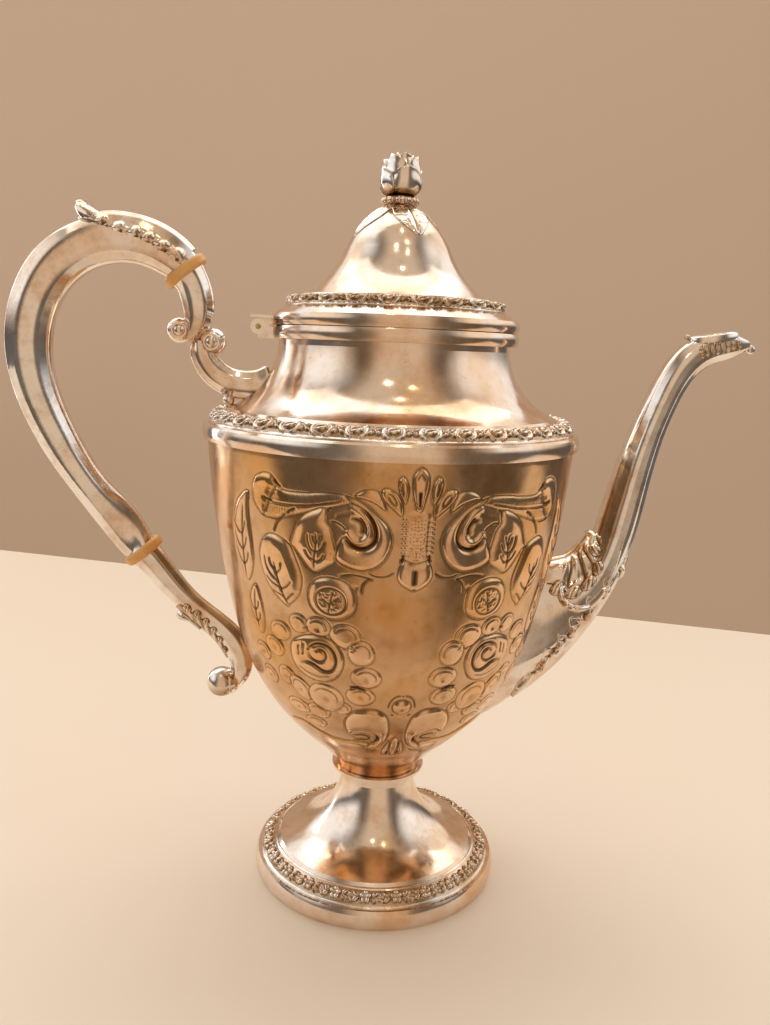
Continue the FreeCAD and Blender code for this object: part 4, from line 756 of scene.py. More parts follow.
def drawChasing():
    # the left half of the front, in degrees from the palmette's middle and mm of height
    sheet = reliefSheet(*bowl["sheet"], lambda v: bowlRadius(v) * math.pi / 180.0,
                        lambda v: np.sqrt(1.0 + bowlSlope(v) ** 2), bowl["swell"])
    sheet["tarnish"] += bowl["ground"]
    for draw in (drawOuterLeaves, drawMainScroll, drawScrollLeaf, drawRoundLeaf,
                 drawPalmette, drawRoseSpray, drawLowerScroll):
        draw(sheet)
    return sheet


def bowlSection():
    # closed section of the wall: up the outside, fine where it is chased, and down the inside in wide steps
    b = bowl
    length = lengthsAlong(bowlLine)
    low, high = np.interp((b["low"], b["high"]), bowlLine[:, 1], length)
    rows = np.concatenate([np.arange(0.0, low, b["plainStep"]), np.arange(low, high, b["step"]),
                           np.arange(high, length[-1], b["plainStep"]), length[-1:]])
    outside = [(np.interp(s, length, bowlLine[:, 0]), np.interp(s, length, bowlLine[:, 1])) for s in rows]
    inside = []
    for r, z in profileLine(b["side"][1:], b["insideStep"])[::-1]:
        slope = float(bowlSlope(np.array(z)))
        lean = math.hypot(1.0, slope)
        inside.append((r - b["wall"] / lean, max(z + b["wall"] * slope / lean, b["base"] + b["floor"])))
    inside[0] = (b["side"][-1][0] - b["wall"], b["side"][-1][1])
    return [(0.0, b["base"])] + outside + inside + [(0.0, b["base"] + b["floor"])]


def bowlQuarter(name, sheet, middle, mirrored):
    # a quarter of the bowl, from the palmette's middle line round to the spout or handle
    b = bowl
    bm = bmesh.new()
    width = b["ornament"] * math.pi / 180.0 * b["stripRadius"]
    strips = int(round(width / b["step"] / b["stripSteps"]))
    chased, plain = (b["ornament"], strips, b["stripSteps"]), (90.0 - b["ornament"], 1, b["plainSteps"])
    spinSection(bm, bowlSection(), (chased, plain))
    turnAll(bm, -90.0, "Z")
    rims = [e for e in bm.edges if e.is_boundary]
    for e in rims:
        e.smooth = False
    bmesh.ops.holes_fill(bm, edges=rims, sides=0)
    bmesh.ops.recalc_face_normals(bm, faces=bm.faces[:])
    if not mirrored:
        bmesh.ops.scale(bm, vec=(-1, 1, 1), verts=bm.verts[:])
        bmesh.ops.reverse_faces(bm, faces=bm.faces[:])

    def chase(places):
        x, y, z = places.T
        radius = np.hypot(x, y)
        a = np.abs(np.degrees(np.arctan2(x, -y)))
        outer = np.abs(radius - bowlRadius(z)) < b["skin"]
        outer &= (z > b["low"] - 1.5) & (z < b["high"] + 1.0)
        rise = np.where(outer, sampleSheet(sheet, "height", a, z), 0.0) * b["depth"]
        shade = np.where(outer, sampleSheet(sheet, "tarnish", a, z), 0.0)
        slope = bowlSlope(z)
        lean = np.hypot(1.0, slope)
        wide = 1.0 + rise / lean / np.maximum(radius, 1.0)
        turn = math.radians(middle + b["turn"])
        moved = np.stack([x * wide, y * wide, z - rise * slope / lean], axis=1)
        return moved @ np.array(Matrix.Rotation(turn, 3, "Z")).T, shade

    finishPiece(name, bm, chasedSilver, "pot", ["bowl"], chase)


chasing = drawChasing()
print("chasing drawn")
for face, middle in (("front", 0.0), ("back", 180.0)):
    bowlQuarter("bowl_" + face + "_left", chasing, middle, False)
    bowlQuarter("bowl_" + face + "_right", chasing, middle, True)
print("bowl made")


# Cast bands of repeated flowers and leaves

def wreathRing(name, settings, draw, body, replaced):
    # the band's section is spun round the pot, then raised by one drawn repeat
    s = settings
    front = np.array([s["outer"]] + arcLine(s["outer"], s["inner"], s["bulge"], s["step"]))
    length, out = lengthsAlong(front), outwardOf(front)
    period = 360.0 / s["repeats"]

    def perDegree(v):
        return np.interp(v, length, front[:, 0]) * math.pi / 180.0

    sheet = reliefSheet(-0.6 * period, 0.6 * period, period / 90.0, 0.0, length[-1], s["step"] / 3.0,
                        perDegree)
    draw(sheet, period, length[-1])
    bm = bmesh.new()
    spinSection(bm, [*front, *s["seat"]], ((360.0, s["repeats"], s["perRepeat"]),))
    bmesh.ops.recalc_face_normals(bm, faces=bm.faces[:])

    def raiseBand(places):
        x, y, z = places.T
        radius = np.hypot(x, y)
        gap = np.hypot(radius[:, None] - front[None, :, 0], z[:, None] - front[None, :, 1])
        row = gap.argmin(axis=1)
        onFront = gap.min(axis=1) < 0.01
        a = (np.degrees(np.arctan2(y, x)) - s["turn"] + period / 2.0) % period - period / 2.0
        rise = np.where(onFront, sampleSheet(sheet, "height", a, length[row]), 0.0)
        shade = np.where(onFront, sampleSheet(sheet, "tarnish", a, length[row]), 0.4)
        wide = 1.0 + rise * out[row, 0] / radius
        return np.stack([x * wide, y * wide, z + rise * out[row, 1]], axis=1), shade

    finishPiece(name, bm, garlandSilver, body, replaced, raiseBand)


def bandGround(sheet, fillet, depth):
    # dark sunk ground between two plain fillets
    v = sheet["v"]
    sunk = 1.0 / (1.0 + np.exp(-np.minimum(v - fillet, v[-1] - fillet - v) / 0.09))
    sheet["height"] -= depth * sunk[:, None]
    sheet["tarnish"] += 0.3 * sunk[:, None] ** 2


def sprigLeaf(sheet, root, reach, lift, wide):
    # small pointed leaf from its root, with a midrib; reach and lift in mm
    scale = float(np.interp(root[1], sheet["v"], sheet["scale"]))
    length = math.hypot(reach, lift)
    along, across = (reach / length, lift / length), (-lift / length, reach / length)
    outline = []
    for step, side in ((0.0, 0.0), (0.25, 0.8), (0.55, 1.0), (0.85, 0.45), (1.0, 0.0), (0.85, -0.45),
                       (0.55, -1.0), (0.25, -0.8)):
        x = along[0] * step * length + across[0] * side * wide
        y = along[1] * step * length + across[1] * side * wide
        outline.append((root[0] + x / scale, root[1] + y))
    pillow(sheet, outline, 0.62, wide, 0.14, 0.8)
    tip = (root[0] + reach / scale, root[1] + lift)
    groove(sheet, [root, tip], 0.13, 0.22, 0.75, 0.1, False)


def drawBudBand(sheet, period, high):
    # oval bud in its two leaf frames, then a sprig of four leaves
    bandGround(sheet, 0.11 * high, 0.42)
    middle = high * 0.5
    for shift in (-period, 0.0, period):
        s = float(np.interp(middle, sheet["v"], sheet["scale"]))
        h = high / 7.4

        def at(x, y):
            return (shift + x / s, middle + y * h)

        for x, y in ((1.7, 1.3), (1.9, -1.3), (-1.7, 1.3), (-1.9, -1.3)):
            root = at(5.2 * (1 if x > 0 else -1), 0.1 * y)
            sprigLeaf(sheet, root, -x, y * h, 0.62 * h)
        bead(sheet, at(5.25, 0.0), 0.42, 0.5)
        bead(sheet, at(-5.25, 0.0), 0.42, 0.5)
        ridge(sheet, [at(1.2, 2.25), at(2.5, 1.5), at(3.0, 0.1), at(2.4, -1.5), at(0.9, -2.2)],
              0.42 * h, 0.85, 0.1)
        ridge(sheet, [at(-0.9, 2.2), at(-2.4, 1.6), at(-3.0, 0.1), at(-2.5, -1.4), at(-1.2, -2.25)],
              0.42 * h, 0.85, 0.1)
        ridge(sheet, [at(2.6, 0.9), at(3.3, 1.9), at(3.4, 2.5)], 0.32 * h, 0.7, 0.15)
        pillow(sheet, roundOutline(sheet, at(0.0, 0.15), 1.95, 1.35 * h, 8.0), 0.95, 1.2 * h, 0.16)
        groove(sheet, [at(-1.25, -0.25), at(0.0, -0.05), at(1.3, 0.45)], 0.24 * h, 0.5, 0.95)
        dimple(sheet, at(-0.2, 0.75), 0.3, 0.1, 0.0)


def drawRoseBand(sheet, period, high):
    # five-petalled rose between crossed leaves and a wavy stem
    bandGround(sheet, 0.10 * high, 0.5)
    middle = high * 0.5
    for shift in (-period, 0.0, period):
        s = float(np.interp(middle, sheet["v"], sheet["scale"]))
        h = high / 7.4

        def at(x, y):
            return (shift + x / s, middle + y * h)

        ridge(sheet, [at(-5.4, -0.6), at(-3.9, -1.5), at(-2.4, -0.4)], 0.34 * h, 0.7, 0.1)
        ridge(sheet, [at(2.4, 0.5), at(3.9, 1.5), at(5.4, 0.6)], 0.34 * h, 0.7, 0.1)
        for x, y, wide in ((2.4, 1.7, 0.72), (2.6, -1.5, 0.72), (1.2, -2.1, 0.5)):
            sprigLeaf(sheet, at(2.1, 0.0), x, y * h, wide * h)
            sprigLeaf(sheet, at(-2.1, 0.0), -x, -y * h, wide * h)
        for i in range(5):
            turn = math.radians(72.0 * i + 18.0)
            spot = at(1.25 * math.cos(turn), 1.25 * math.sin(turn))
            pillow(sheet, roundOutline(sheet, spot, 0.85, 0.8 * h), 0.85, 0.7 * h, 0.13)
        bead(sheet, at(0.0, 0.0), 0.62 * h, 0.75)
        dimple(sheet, at(0.0, 0.0), 0.2, 0.2, 0.9)


def drawDrapedLeaf(sheet, period, high):
    # long pointed leaf with a midrib, its neighbours tucked under its sides
    sheet["height"] -= 0.6
    for shift, lift in ((-period, 0.35), (period, 0.35), (0.0, 0.62)):
        half = [(0.50, 1.0), (0.45, 0.72), (0.34, 0.47), (0.17, 0.22)]
        outline = [(shift - a * period, b * high) for a, b in half] + [(shift, 0.02 * high)]
        outline += [(shift + a * period, b * high) for a, b in half[::-1]]
        pillow(sheet, outline, lift, 0.55, 0.2, 0.9)
        groove(sheet, [(shift, high), (shift, 0.1 * high)], 0.24, 0.42, 0.85, 0.1, False)
        for side in (-1.0, 1.0):
            def at(x, y):
                return (shift + side * x * period, y * high)

            ridge(sheet, [at(0.07, 0.9), at(0.10, 0.5), at(0.03, 0.12)], 0.4, 0.3)
            for share in (0.35, 0.55, 0.75):
                groove(sheet, [at(0.06, share), at(0.26, share + 0.04), at(0.38, share - 0.06)],
                       0.16, 0.12, 0.5)


shoulderBand = {
    "outer": (62.2, 164.6), "inner": (56.0, 168.6), "bulge": 5.6, "seat": [(56.4, 164.6)],
    "repeats": 36, "perRepeat": 34, "turn": -90.0 + 3.0, "step": 0.28,
}
lidBand = {
    "outer": (37.0, 203.0), "inner": (34.0, 206.8), "bulge": 4.4, "seat": [(34.0, 203.0)],
    "repeats": 22, "perRepeat": 34, "turn": -90.0 + 5.0, "step": 0.24,
}
footBand = {
    "outer": (42.3, 7.0), "inner": (36.3, 11.2), "bulge": 6.2, "seat": [(36.3, 7.0)],
    "repeats": 24, "perRepeat": 36, "turn": -90.0 + 4.0, "step": 0.28,
}
finialSpray = {
    "outer": (15.7, 225.4), "inner": (5.0, 236.0), "bulge": 28.2, "seat": [(4.6, 235.2), (14.6, 225.0)],
    "repeats": 4, "perRepeat": 64, "turn": -90.0 + 16.0, "step": 0.28,
}
wreathRing("shoulder_garland_band", shoulderBand, drawBudBand, "pot", ["shoulder_garland"])
wreathRing("lid_garland_band", lidBand, drawBudBand, "lid", ["lid_garland"])
wreathRing("foot_garland_band", footBand, drawRoseBand, "pot", ["foot_garland"])
wreathRing("finial_leaf_spray", finialSpray, drawDrapedLeaf, "lid", ["finial_leaves"])
print("bands made")


# Leaves wrapped round the spout and the handle

rayStart = 0.05       # rays start this far outside the carrier, in metres
skinThick = 0.5       # carved skins' thickness, in mm


def leafSheet(length, reach, ground):
    sheet = reliefSheet(-1.0, length + 1.0, 0.16, -1.5, reach, 0.16)
    sheet["height"] -= 0.8
    sheet["tarnish"] += ground
    return sheet


def acanthus(sheet, s):
    # half a leaf from its root to its tip: a body, rolled lobes along its edge, folds and a midrib
    edge = np.array(s["edge"], float)
    length = edge[-1, 0]
    body = [(-1.5, -3.0), (-1.5, edge[0, 1] - s["lobeHigh"])]
    body += [(u, max(v - s["lobeHigh"], -0.4)) for u, v in edge[1:]] + [(length + 0.4, -3.0)]
    pillow(sheet, body, s["thick"], 1.2, 0.0)
    darken(sheet, np.s_[:, :], s["ground"])
    for i in range(s["lobes"]):
        u = s["first"] + (s["last"] - s["first"]) * i / (s["lobes"] - 1)
        v = float(np.interp(u, edge[:, 0], edge[:, 1]))
        size = 1.0 - 0.35 * i / s["lobes"]
        wide, high = s["lobeWide"] * size, s["lobeHigh"] * size

        def at(x, y):
            return (u + x * wide, v + y * high)

        if s["hooks"]:
            # a curling lobe that grows out of the one before it; the dark dimple and groove round it are
            # partly tarnish in the recess and partly painted shade
            ridge(sheet, [at(-2.1, -2.0), at(-1.1, -1.7), at(-0.3, -0.7), at(0.5, -0.3), at(0.95, -0.9),
                          at(0.6, -1.4)], 0.46 * high, s["hookRise"], 0.12)
            dimple(sheet, at(0.25, -1.1), 0.3 * high, 0.6, 0.95)
            groove(sheet, [at(-2.0, -1.2), at(-1.2, -0.8), at(-0.5, 0.1)], 0.45, 0.5, 0.95)
            continue
        pillow(sheet, roundOutline(sheet, at(0.0, -0.85), wide, high, s["lean"]), s["thick"] + 0.55,
               0.8 * high, 0.2, 0.9)
        for share in (-0.35, 0.25):
            groove(sheet, [(u + (share - 0.25) * wide, v + 0.1), at(share + 0.15, -0.9),
                           at(share + 0.9, -2.0)], 0.2, 0.3, 0.75)
        fold = s["fold"]      # share of the way to the middle where the folds end
        groove(sheet, [at(0.95, -0.3), at(1.25, -1.5), (u + 2.3 * wide, (0.3 + fold) * v * 0.8),
                       (u + 3.2 * wide, fold * v + 0.5)], 0.34, 0.5, 0.9, 0.3)
        ridge(sheet, [at(0.2, -1.5), (u + 1.2 * wide, (0.35 + fold) * v * 0.9),
                      (u + 2.4 * wide, fold * v + 0.4)], 0.6, 0.35)
        dimple(sheet, at(1.0, -0.5), 0.45, 0.6, 0.95)
    ridge(sheet, [(-1.0, 0.0), (0.5 * length, 0.0), (length, 0.0)], 0.6, 0.45, 0.05)
    groove(sheet, [(-1.0, 1.0), (0.5 * length, 0.9), (length - 1.0, 0.5)], 0.25, 0.3, 0.7, 0.05)


def carvedSkin(name, s, body, replaced):
    # a grid laid on the carrier by rays from outside, both sides alike, raised by the leaf's relief
    edge = smoothLine(s["line"])
    length, out = lengthsAlong(edge), outwardOf(edge) * s["outside"]
    reach = max(v for u, v in s["edge"]) + 0.8
    sheet = leafSheet(length[-1], reach, s["ground"])
    whole = length[-1]
    acanthus(sheet, dict(s, edge=[(u * whole, v) for u, v in s["edge"]], first=s["first"] * whole,
                         last=s["last"] * whole))
    tree = BVHTree.FromObject(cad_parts[s["carrier"]], bpy.context.evaluated_depsgraph_get())
    bm = bmesh.new()
    across = int(2.0 * reach / s["step"])
    bmesh.ops.create_grid(bm, x_segments=int(whole / s["step"]), y_segments=across, size=0.5)
    tarnish = bm.verts.layers.float.new("tarnish")
    share = np.array([v.co for v in bm.verts]) + 0.5
    u, v = share[:, 0] * whole, (share[:, 1] * 2.0 - 1.0) * reach
    crown = np.interp(u / whole, np.linspace(0.0, 1.0, len(s["crown"])), s["crown"])
    crown = crown * np.clip(1.0 - (v / s["crownReach"]) ** 2, 0.0, 1.0)
    rise = sampleSheet(sheet, "height", u, np.abs(v)) + crown
    shade = sampleSheet(sheet, "tarnish", u, np.abs(v))
    turn = v / s["depth"]
    middle = [np.interp(u, length, edge[:, k] - out[:, k] * s["depth"]) for k in (0, 1)]
    aside = [np.interp(u, length, out[:, k]) for k in (0, 1)]
    for i, vert in enumerate(bm.verts):
        c = math.cos(turn[i])
        outward = Vector((aside[0][i] * c, math.sin(turn[i]), aside[1][i] * c)).normalized()
        centre = Vector((middle[0][i], 0.0, middle[1][i])) * mm
        hit = tree.ray_cast(centre + outward * rayStart, -outward)[0]
        if hit is None:
            hit = centre + outward * ((s["depth"] - s["sink"]) * mm)
        vert.co = hit + outward * (rise[i] * mm)
        vert[tarnish] = shade[i]
    bmesh.ops.smooth_vert(bm, verts=bm.verts[:], factor=0.3, use_axis_x=True, use_axis_y=True,
                          use_axis_z=True)
    bm.normal_update()
    facing = sum(f.normal.dot(Vector((aside[0][0], 0.0, aside[1][0]))) for f in bm.faces)
    if facing < 0.0:
        bmesh.ops.reverse_faces(bm, faces=bm.faces[:])
        bm.normal_update()
    bmesh.ops.solidify(bm, geom=bm.faces[:], thickness=skinThick * mm)
    finishPiece(name, bm, garlandSilver, body, replaced)


def scrollBar(bm, path, wide, broad, segments=12):
    # rounded bar along a line, its end face extruded from place to place
    # wide and broad are half sizes along it
    line = smoothLine(path, perSpan=6)
    way = np.gradient(line[:, [0, 2]], axis=0)
    way /= np.hypot(*way.T)[:, None]
    stops = np.linspace(0.0, 1.0, len(wide))
    frames = []
    for (x, y, z), (tx, tz), share in zip(line, way, np.linspace(0.0, 1.0, len(line))):
        w, b = np.interp(share, stops, wide), np.interp(share, stops, broad)
        place = Matrix(((tz * w, 0.0, tx, x), (0.0, b, 0.0, y), (-tx * w, 0.0, tz, z),
                        (0.0, 0.0, 0.0, 1.0)))
        frames.append(Matrix.Scale(mm, 4) @ place)
    first = bmesh.ops.create_circle(bm, cap_ends=True, radius=1.0, segments=segments,
                                    matrix=frames[0])["verts"]
    end = first[0].link_faces[0]
    for before, after in zip(frames[:-1], frames[1:]):
        grown = bmesh.ops.extrude_face_region(bm, geom=[end])["geom"]
        bmesh.ops.transform(bm, matrix=after @ before.inverted(), verts=vertsOf(grown))
        end = next(g for g in grown if isinstance(g, bmesh.types.BMFace))
    bmesh.ops.contextual_create(bm, geom=first)


def sideOf(tree, x, z):
    # how far out in y the carrier's side is at a place
    hit = tree.ray_cast(Vector((x * mm, rayStart, z * mm)), Vector((0.0, -1.0, 0.0)))[0]
    return hit.y / mm if hit else 0.0


def barPiece(name, bars, carrier, body, replaced, tarnish=0.0):
    # bars on both sides of a carrier, or on its middle plane where they have no side
    tree = BVHTree.FromObject(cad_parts[carrier], bpy.context.evaluated_depsgraph_get())
    bm = bmesh.new()
    for bar in bars:
        for side in ((1.0, -1.0) if bar["lift"] is not None else (0.0,)):
            path = [(x, side * (sideOf(tree, x, z) + bar["lift"]) if side else 0.0, z)
                    for x, z in bar["path"]]
            scrollBar(bm, path, bar["wide"], bar["broad"])
    bmesh.ops.recalc_face_normals(bm, faces=bm.faces[:])

    def tarnished(places):
        return places, np.full(len(places), tarnish)

    finishPiece(name, bm, castSilver, body, replaced, tarnished)


thumbLeaf = {
    "carrier": "handle_grip", "outside": 1.0, "depth": 7.0, "sink": 1.5, "step": 0.34,
    "line": [(-66.9, 218.9), (-70.6, 221.8), (-74.5, 224.2), (-80.8, 227.2), (-87.0, 228.2), (-93.2, 228.4),
             (-99.5, 227.6), (-103.0, 226.6)],
    "edge": [(0.0, 11.8), (0.3, 12.8), (0.5, 12.6), (0.72, 11.0), (0.89, 7.4), (1.0, 3.4)],
    "thick": 0.7, "lobes": 6, "first": 0.16, "last": 0.84, "lobeWide": 2.5, "lobeHigh": 2.6,
    "hooks": True, "hookRise": 0.8, "crown": (0.0, 0.3, 0.4, 0.4), "crownReach": 6.0, "ground": 0.1,
}
keelLeaf = {
    "carrier": "spout", "outside": 1.0, "depth": 9.0, "sink": 1.5, "step": 0.36,
    "line": [(47.6, 67.0), (54.3, 72.0), (60.3, 75.2), (66.0, 79.9), (70.8, 84.8), (74.5, 90.5),
             (77.9, 97.0), (83.8, 107.6), (87.6, 116.0), (89.8, 123.0)],
    "edge": [(0.0, 8.0), (0.12, 13.0), (0.3, 16.8), (0.55, 16.4), (0.8, 12.4), (0.93, 7.0), (1.0, 1.6)],
    "thick": 0.8, "lobes": 7, "first": 0.14, "last": 0.90, "lobeWide": 3.6, "lobeHigh": 3.0,
    "hooks": True, "hookRise": 0.95, "crown": (0.0, 0.0), "crownReach": 6.0, "ground": 0.16,
}
crestLeaf = {
    "carrier": "spout", "outside": -1.0, "depth": 10.0, "sink": 1.5, "step": 0.34,
    "line": [(52.0, 112.2), (56.0, 112.4), (60.4, 112.6), (64.0, 113.0), (68.0, 114.3), (71.5, 117.0),
             (74.0, 121.0), (76.4, 127.0)],
    "edge": [(0.0, 9.0), (0.22, 10.0), (0.34, 13.6), (0.48, 14.0), (0.68, 11.5), (0.88, 6.4), (1.0, 1.6)],
    "thick": 0.9, "lobes": 5, "first": 0.28, "last": 0.84, "lobeWide": 3.0, "lobeHigh": 2.3,
    "hooks": False, "lean": -30.0, "fold": 0.15, "crown": (3.8, 4.0, 4.0, 4.0, 3.4, 1.2),
    "crownReach": 8.0, "ground": 0.0,
}
lowerLeaf = {
    "carrier": "lower_socket", "outside": 1.0, "depth": 4.2, "sink": 1.5, "step": 0.3,
    "line": [(-72.8, 99.4), (-68.6, 94.8), (-64.2, 89.8), (-59.6, 84.2), (-56.4, 79.2)],
    "edge": [(0.0, 4.0), (0.15, 7.6), (0.5, 8.2), (0.8, 6.6), (1.0, 2.0)],
    "thick": 0.6, "lobes": 6, "first": 0.10, "last": 0.86, "lobeWide": 1.9, "lobeHigh": 1.7,
    "hooks": False, "lean": -28.0, "fold": 0.3, "crown": (0.0, 0.3, 0.0), "crownReach": 4.0, "ground": 0.3,
}
carvedSkin("thumb_leaf_carving", thumbLeaf, "pot", ["thumb_leaf"])
carvedSkin("spout_keel_carving", keelLeaf, "pot", ["spout_keel_leaf"])
carvedSkin("spout_crest_carving", crestLeaf, "pot", ["spout_crest_leaf"])
carvedSkin("lower_leaf_carving", lowerLeaf, "pot", ["lower_leaf"])
# C-scrolls and curled tips: lift is how far a bar stands out of the carrier's side, None on the middle plane
spoutScrolls = [
    {
        "path": [(65.0, 107.4), (64.0, 108.8), (62.6, 107.6), (62.9, 104.8), (65.2, 102.6), (68.4, 101.6),
                 (71.6, 101.9), (74.6, 103.6), (77.2, 106.4), (79.4, 110.2), (81.4, 115.0), (83.0, 120.5),
                 (84.2, 126.0)],
        "wide": [0.7, 1.3, 1.5, 1.5, 1.3, 0.9, 0.5, 0.15],
        "broad": [0.9, 1.5, 1.6, 1.6, 1.4, 1.0, 0.6, 0.2],
        "lift": 0.1,
    }, {
        "path": [(71.0, 117.6), (73.6, 121.4), (74.9, 124.6), (74.8, 126.6), (73.7, 127.4)],
        "wide": [1.8, 2.2, 1.9, 1.6, 0.9],
        "broad": [4.6, 4.8, 4.0, 3.2, 2.0],
        "lift": None,
    }, {
        "path": [(85.3, 114.0), (87.1, 118.4), (88.7, 121.4), (89.9, 122.2), (89.9, 121.1)],
        "wide": [0.9, 1.3, 1.1, 0.8, 0.5],
        "broad": [3.2, 3.2, 2.6, 1.9, 1.2],
        "lift": None,
    },
]
thumbCurl = {
    "path": [(-91.0, 224.6), (-95.8, 226.4), (-99.2, 228.2), (-101.2, 229.9), (-101.6, 231.6),
             (-101.2, 233.0)],
    "wide": [0.8, 1.9, 2.8, 2.9, 2.7, 2.5, 2.0, 0.6],
    "broad": [1.6, 3.2, 4.4, 4.6, 4.4, 4.0, 3.2, 1.0],
    "lift": None,
}
lowerCurl = {
    "path": [(-64.6, 91.2), (-67.4, 93.6), (-69.8, 95.2), (-71.6, 96.0), (-73.0, 96.2)],
    "wide": [0.8, 0.9, 0.9, 1.5, 1.8, 1.5, 0.5],
    "broad": [1.8, 1.6, 1.3, 1.6, 1.8, 1.5, 0.5],
    "lift": None,
    "tarnish": 0.15,
}
barPiece("spout_leaf_scrolls", spoutScrolls, "spout", "pot", ["spout_crest_leaf", "spout_keel_leaf"])
barPiece("thumb_leaf_curl", [thumbCurl], "handle_grip", "pot", ["thumb_leaf"])
barPiece("lower_leaf_curl", [lowerCurl], "lower_socket", "pot", ["lower_leaf"], lowerCurl["tarnish"])
print("leaves made")


# Spout's mouth: a high rounded rim, tilted up to the beak, with a knob behind it and flutes below
mouthRim = {
    "section": [(8.0, -2.2), (8.9, -2.0), (9.25, -0.6), (9.1, 0.6), (8.5, 1.3), (7.9, 1.2), (7.7, 0.3)],
    "narrow": 0.53,       # breadth to length
    "middle": (114.3, 198.5),
    "tilt": 9.0,
    "knob": {"path": [(106.4, 196.6), (105.4, 197.6), (104.6, 198.4), (103.9, 199.0)],
             "wide": [0.8, 0.8, 1.0, 0.5], "broad": [0.9, 0.9, 1.1, 0.5], "lift": None},
    "flutes": 8,
    "fluteLine": ((107.8, 194.8), (121.6, 196.9)),
    "fluteFall": (1.0, -3.6),
    "fluteShrink": 0.35,  # the last flute is shorter by this share
    "fluteWide": 0.85,
    "fluteTarnish": 0.32,
}


def makeMouth():
    s = mouthRim
    bm = bmesh.new()
    spinSection(bm, s["section"], ((360.0, 6, 16),))
    bmesh.ops.recalc_face_normals(bm, faces=bm.faces[:])
    bmesh.ops.scale(bm, vec=(1.0, s["narrow"], 1.0), verts=bm.verts[:])
    turnAll(bm, -s["tilt"], "Y")
    moveAll(bm, s["middle"][0], 0.0, s["middle"][1])
    finishPiece("spout_mouth_rim", bm, castSilver, "pot", ["spout_lip"])
    (x0, z0), (x1, z1) = s["fluteLine"]
    w, bars = s["fluteWide"], [s["knob"]]
    for i in range(s["flutes"]):
        share = i / (s["flutes"] - 1)
        x, z = x0 + (x1 - x0) * share, z0 + (z1 - z0) * share
        fallX, fallZ = s["fluteFall"][0], s["fluteFall"][1] * (1.0 - s["fluteShrink"] * share)
        half = [w, w, 0.9 * w, 0.3]
        bars.append({"path": [(x, z + 1.0), (x + 0.4 * fallX, z + 0.4 * fallZ), (x + fallX, z + fallZ)],
                     "wide": half, "broad": half, "lift": 0.05})
    barPiece("spout_mouth_flutes", bars, "spout", "pot", [], s["fluteTarnish"])


makeMouth()
print("mouth made")


# Rose bud of the finial: rows of overlapping petals round a dark heart
roseBud = {
    "base": 239.4,
    "heart": [(0.0, 230.0), (1.7, 230.0), (1.7, 239.4), (3.9, 239.4), (4.7, 243.6), (4.1, 247.8),
              (2.0, 251.0), (0.0, 251.8)],
    # petals, turn of the first, half width in degrees, foot, top, radii from foot to lip
    "rows": [(4, -78.0, 54.0, 0.2, 9.2, (4.4, 6.3, 7.1, 7.2, 6.9, 7.0)),
             (4, -123.0, 52.0, 3.0, 12.6, (5.0, 6.1, 6.6, 6.4, 5.8, 5.8)),
             (4, -78.0, 52.0, 6.0, 13.6, (4.7, 5.1, 5.0, 4.5, 3.8, 4.0)),
             (3, -50.0, 62.0, 8.5, 14.0, (2.6, 2.6, 2.4, 2.0, 1.5, 1.8))],
    "thick": 0.42,
    "overlap": 0.38,
}


def budPetal(bm, tarnish, turn, row):
    s = roseBud
    half, foot, top, radii = row[2:]
    made = bmesh.ops.create_grid(bm, x_segments=14, y_segments=14, size=0.5)["verts"]
    for vert in made:
        a, h = 2.0 * vert.co.x, vert.co.y + 0.5
        tip = top - 0.30 * abs(a) ** 2.0 * (top - foot) + 0.2 * math.cos(5.0 * a + turn)
        r = float(np.interp(h, np.linspace(0.0, 1.0, len(radii)), radii))
        r = r + s["overlap"] * a - 0.35 * abs(a) ** 3
        r += 0.12 * math.exp(-(a / 0.12) ** 2) * h
        angle = math.radians(turn + a * half * (0.8 + 0.2 * math.sin(math.pi * h)))
        vert.co = Vector((r * math.cos(angle), r * math.sin(angle),
                          s["base"] + foot + (tip - foot) * h)) * mm
        vert[tarnish] = 0.75 * max(0.0, 1.0 - 3.2 * h) + 0.25 * abs(a) ** 6
    faces = list({f for vert in made for f in vert.link_faces})
    bm.normal_update()
    middle = Vector((math.cos(math.radians(turn)), math.sin(math.radians(turn)), 0.0))
    if sum(f.normal.dot(middle) for f in faces) < 0.0:
        bmesh.ops.reverse_faces(bm, faces=faces)
        bm.normal_update()
    bmesh.ops.solidify(bm, geom=faces, thickness=s["thick"] * mm)


def makeBud():
    s = roseBud
    bm = bmesh.new()
    tarnish = bm.verts.layers.float.new("tarnish")
    spinSection(bm, s["heart"], ((360.0, 6, 6),))
    bmesh.ops.recalc_face_normals(bm, faces=bm.faces[:])
    for vert in bm.verts:
        vert[tarnish] = 0.85
    for row in s["rows"]:
        for i in range(row[0]):
            budPetal(bm, tarnish, row[1] + 360.0 * i / row[0], row)
    finishPiece("finial_rose_bud", bm, castSilver, "lid", ["finial_bud"])


makeBud()
print("finial made")


# Scroll ends of the handle: a raised ring and eye on each side
scrollEyes = {
    "section": [(0.0, -0.8), (2.75, -0.8), (2.85, 0.1), (2.45, 0.45), (2.05, 0.2), (1.85, 0.35),
                (1.45, 1.0), (0.7, 1.4), (0.0, 1.5)],
    # x, height, half breadth of the scroll, size
    "places": [(-71.5, 193.6, 3.6, 1.0), (-61.1, 190.2, 3.9, 1.05)],
    # ball end of the lower scroll: section and middle
    "ball": [(0.0, -5.3), (2.2, -4.9), (3.9, -3.7), (4.9, -1.9), (5.2, 0.0), (4.9, 1.9), (3.9, 3.7),
             (2.2, 4.9), (0.0, 5.3)],
    "ballPlace": (-57.3, 71.3),
}


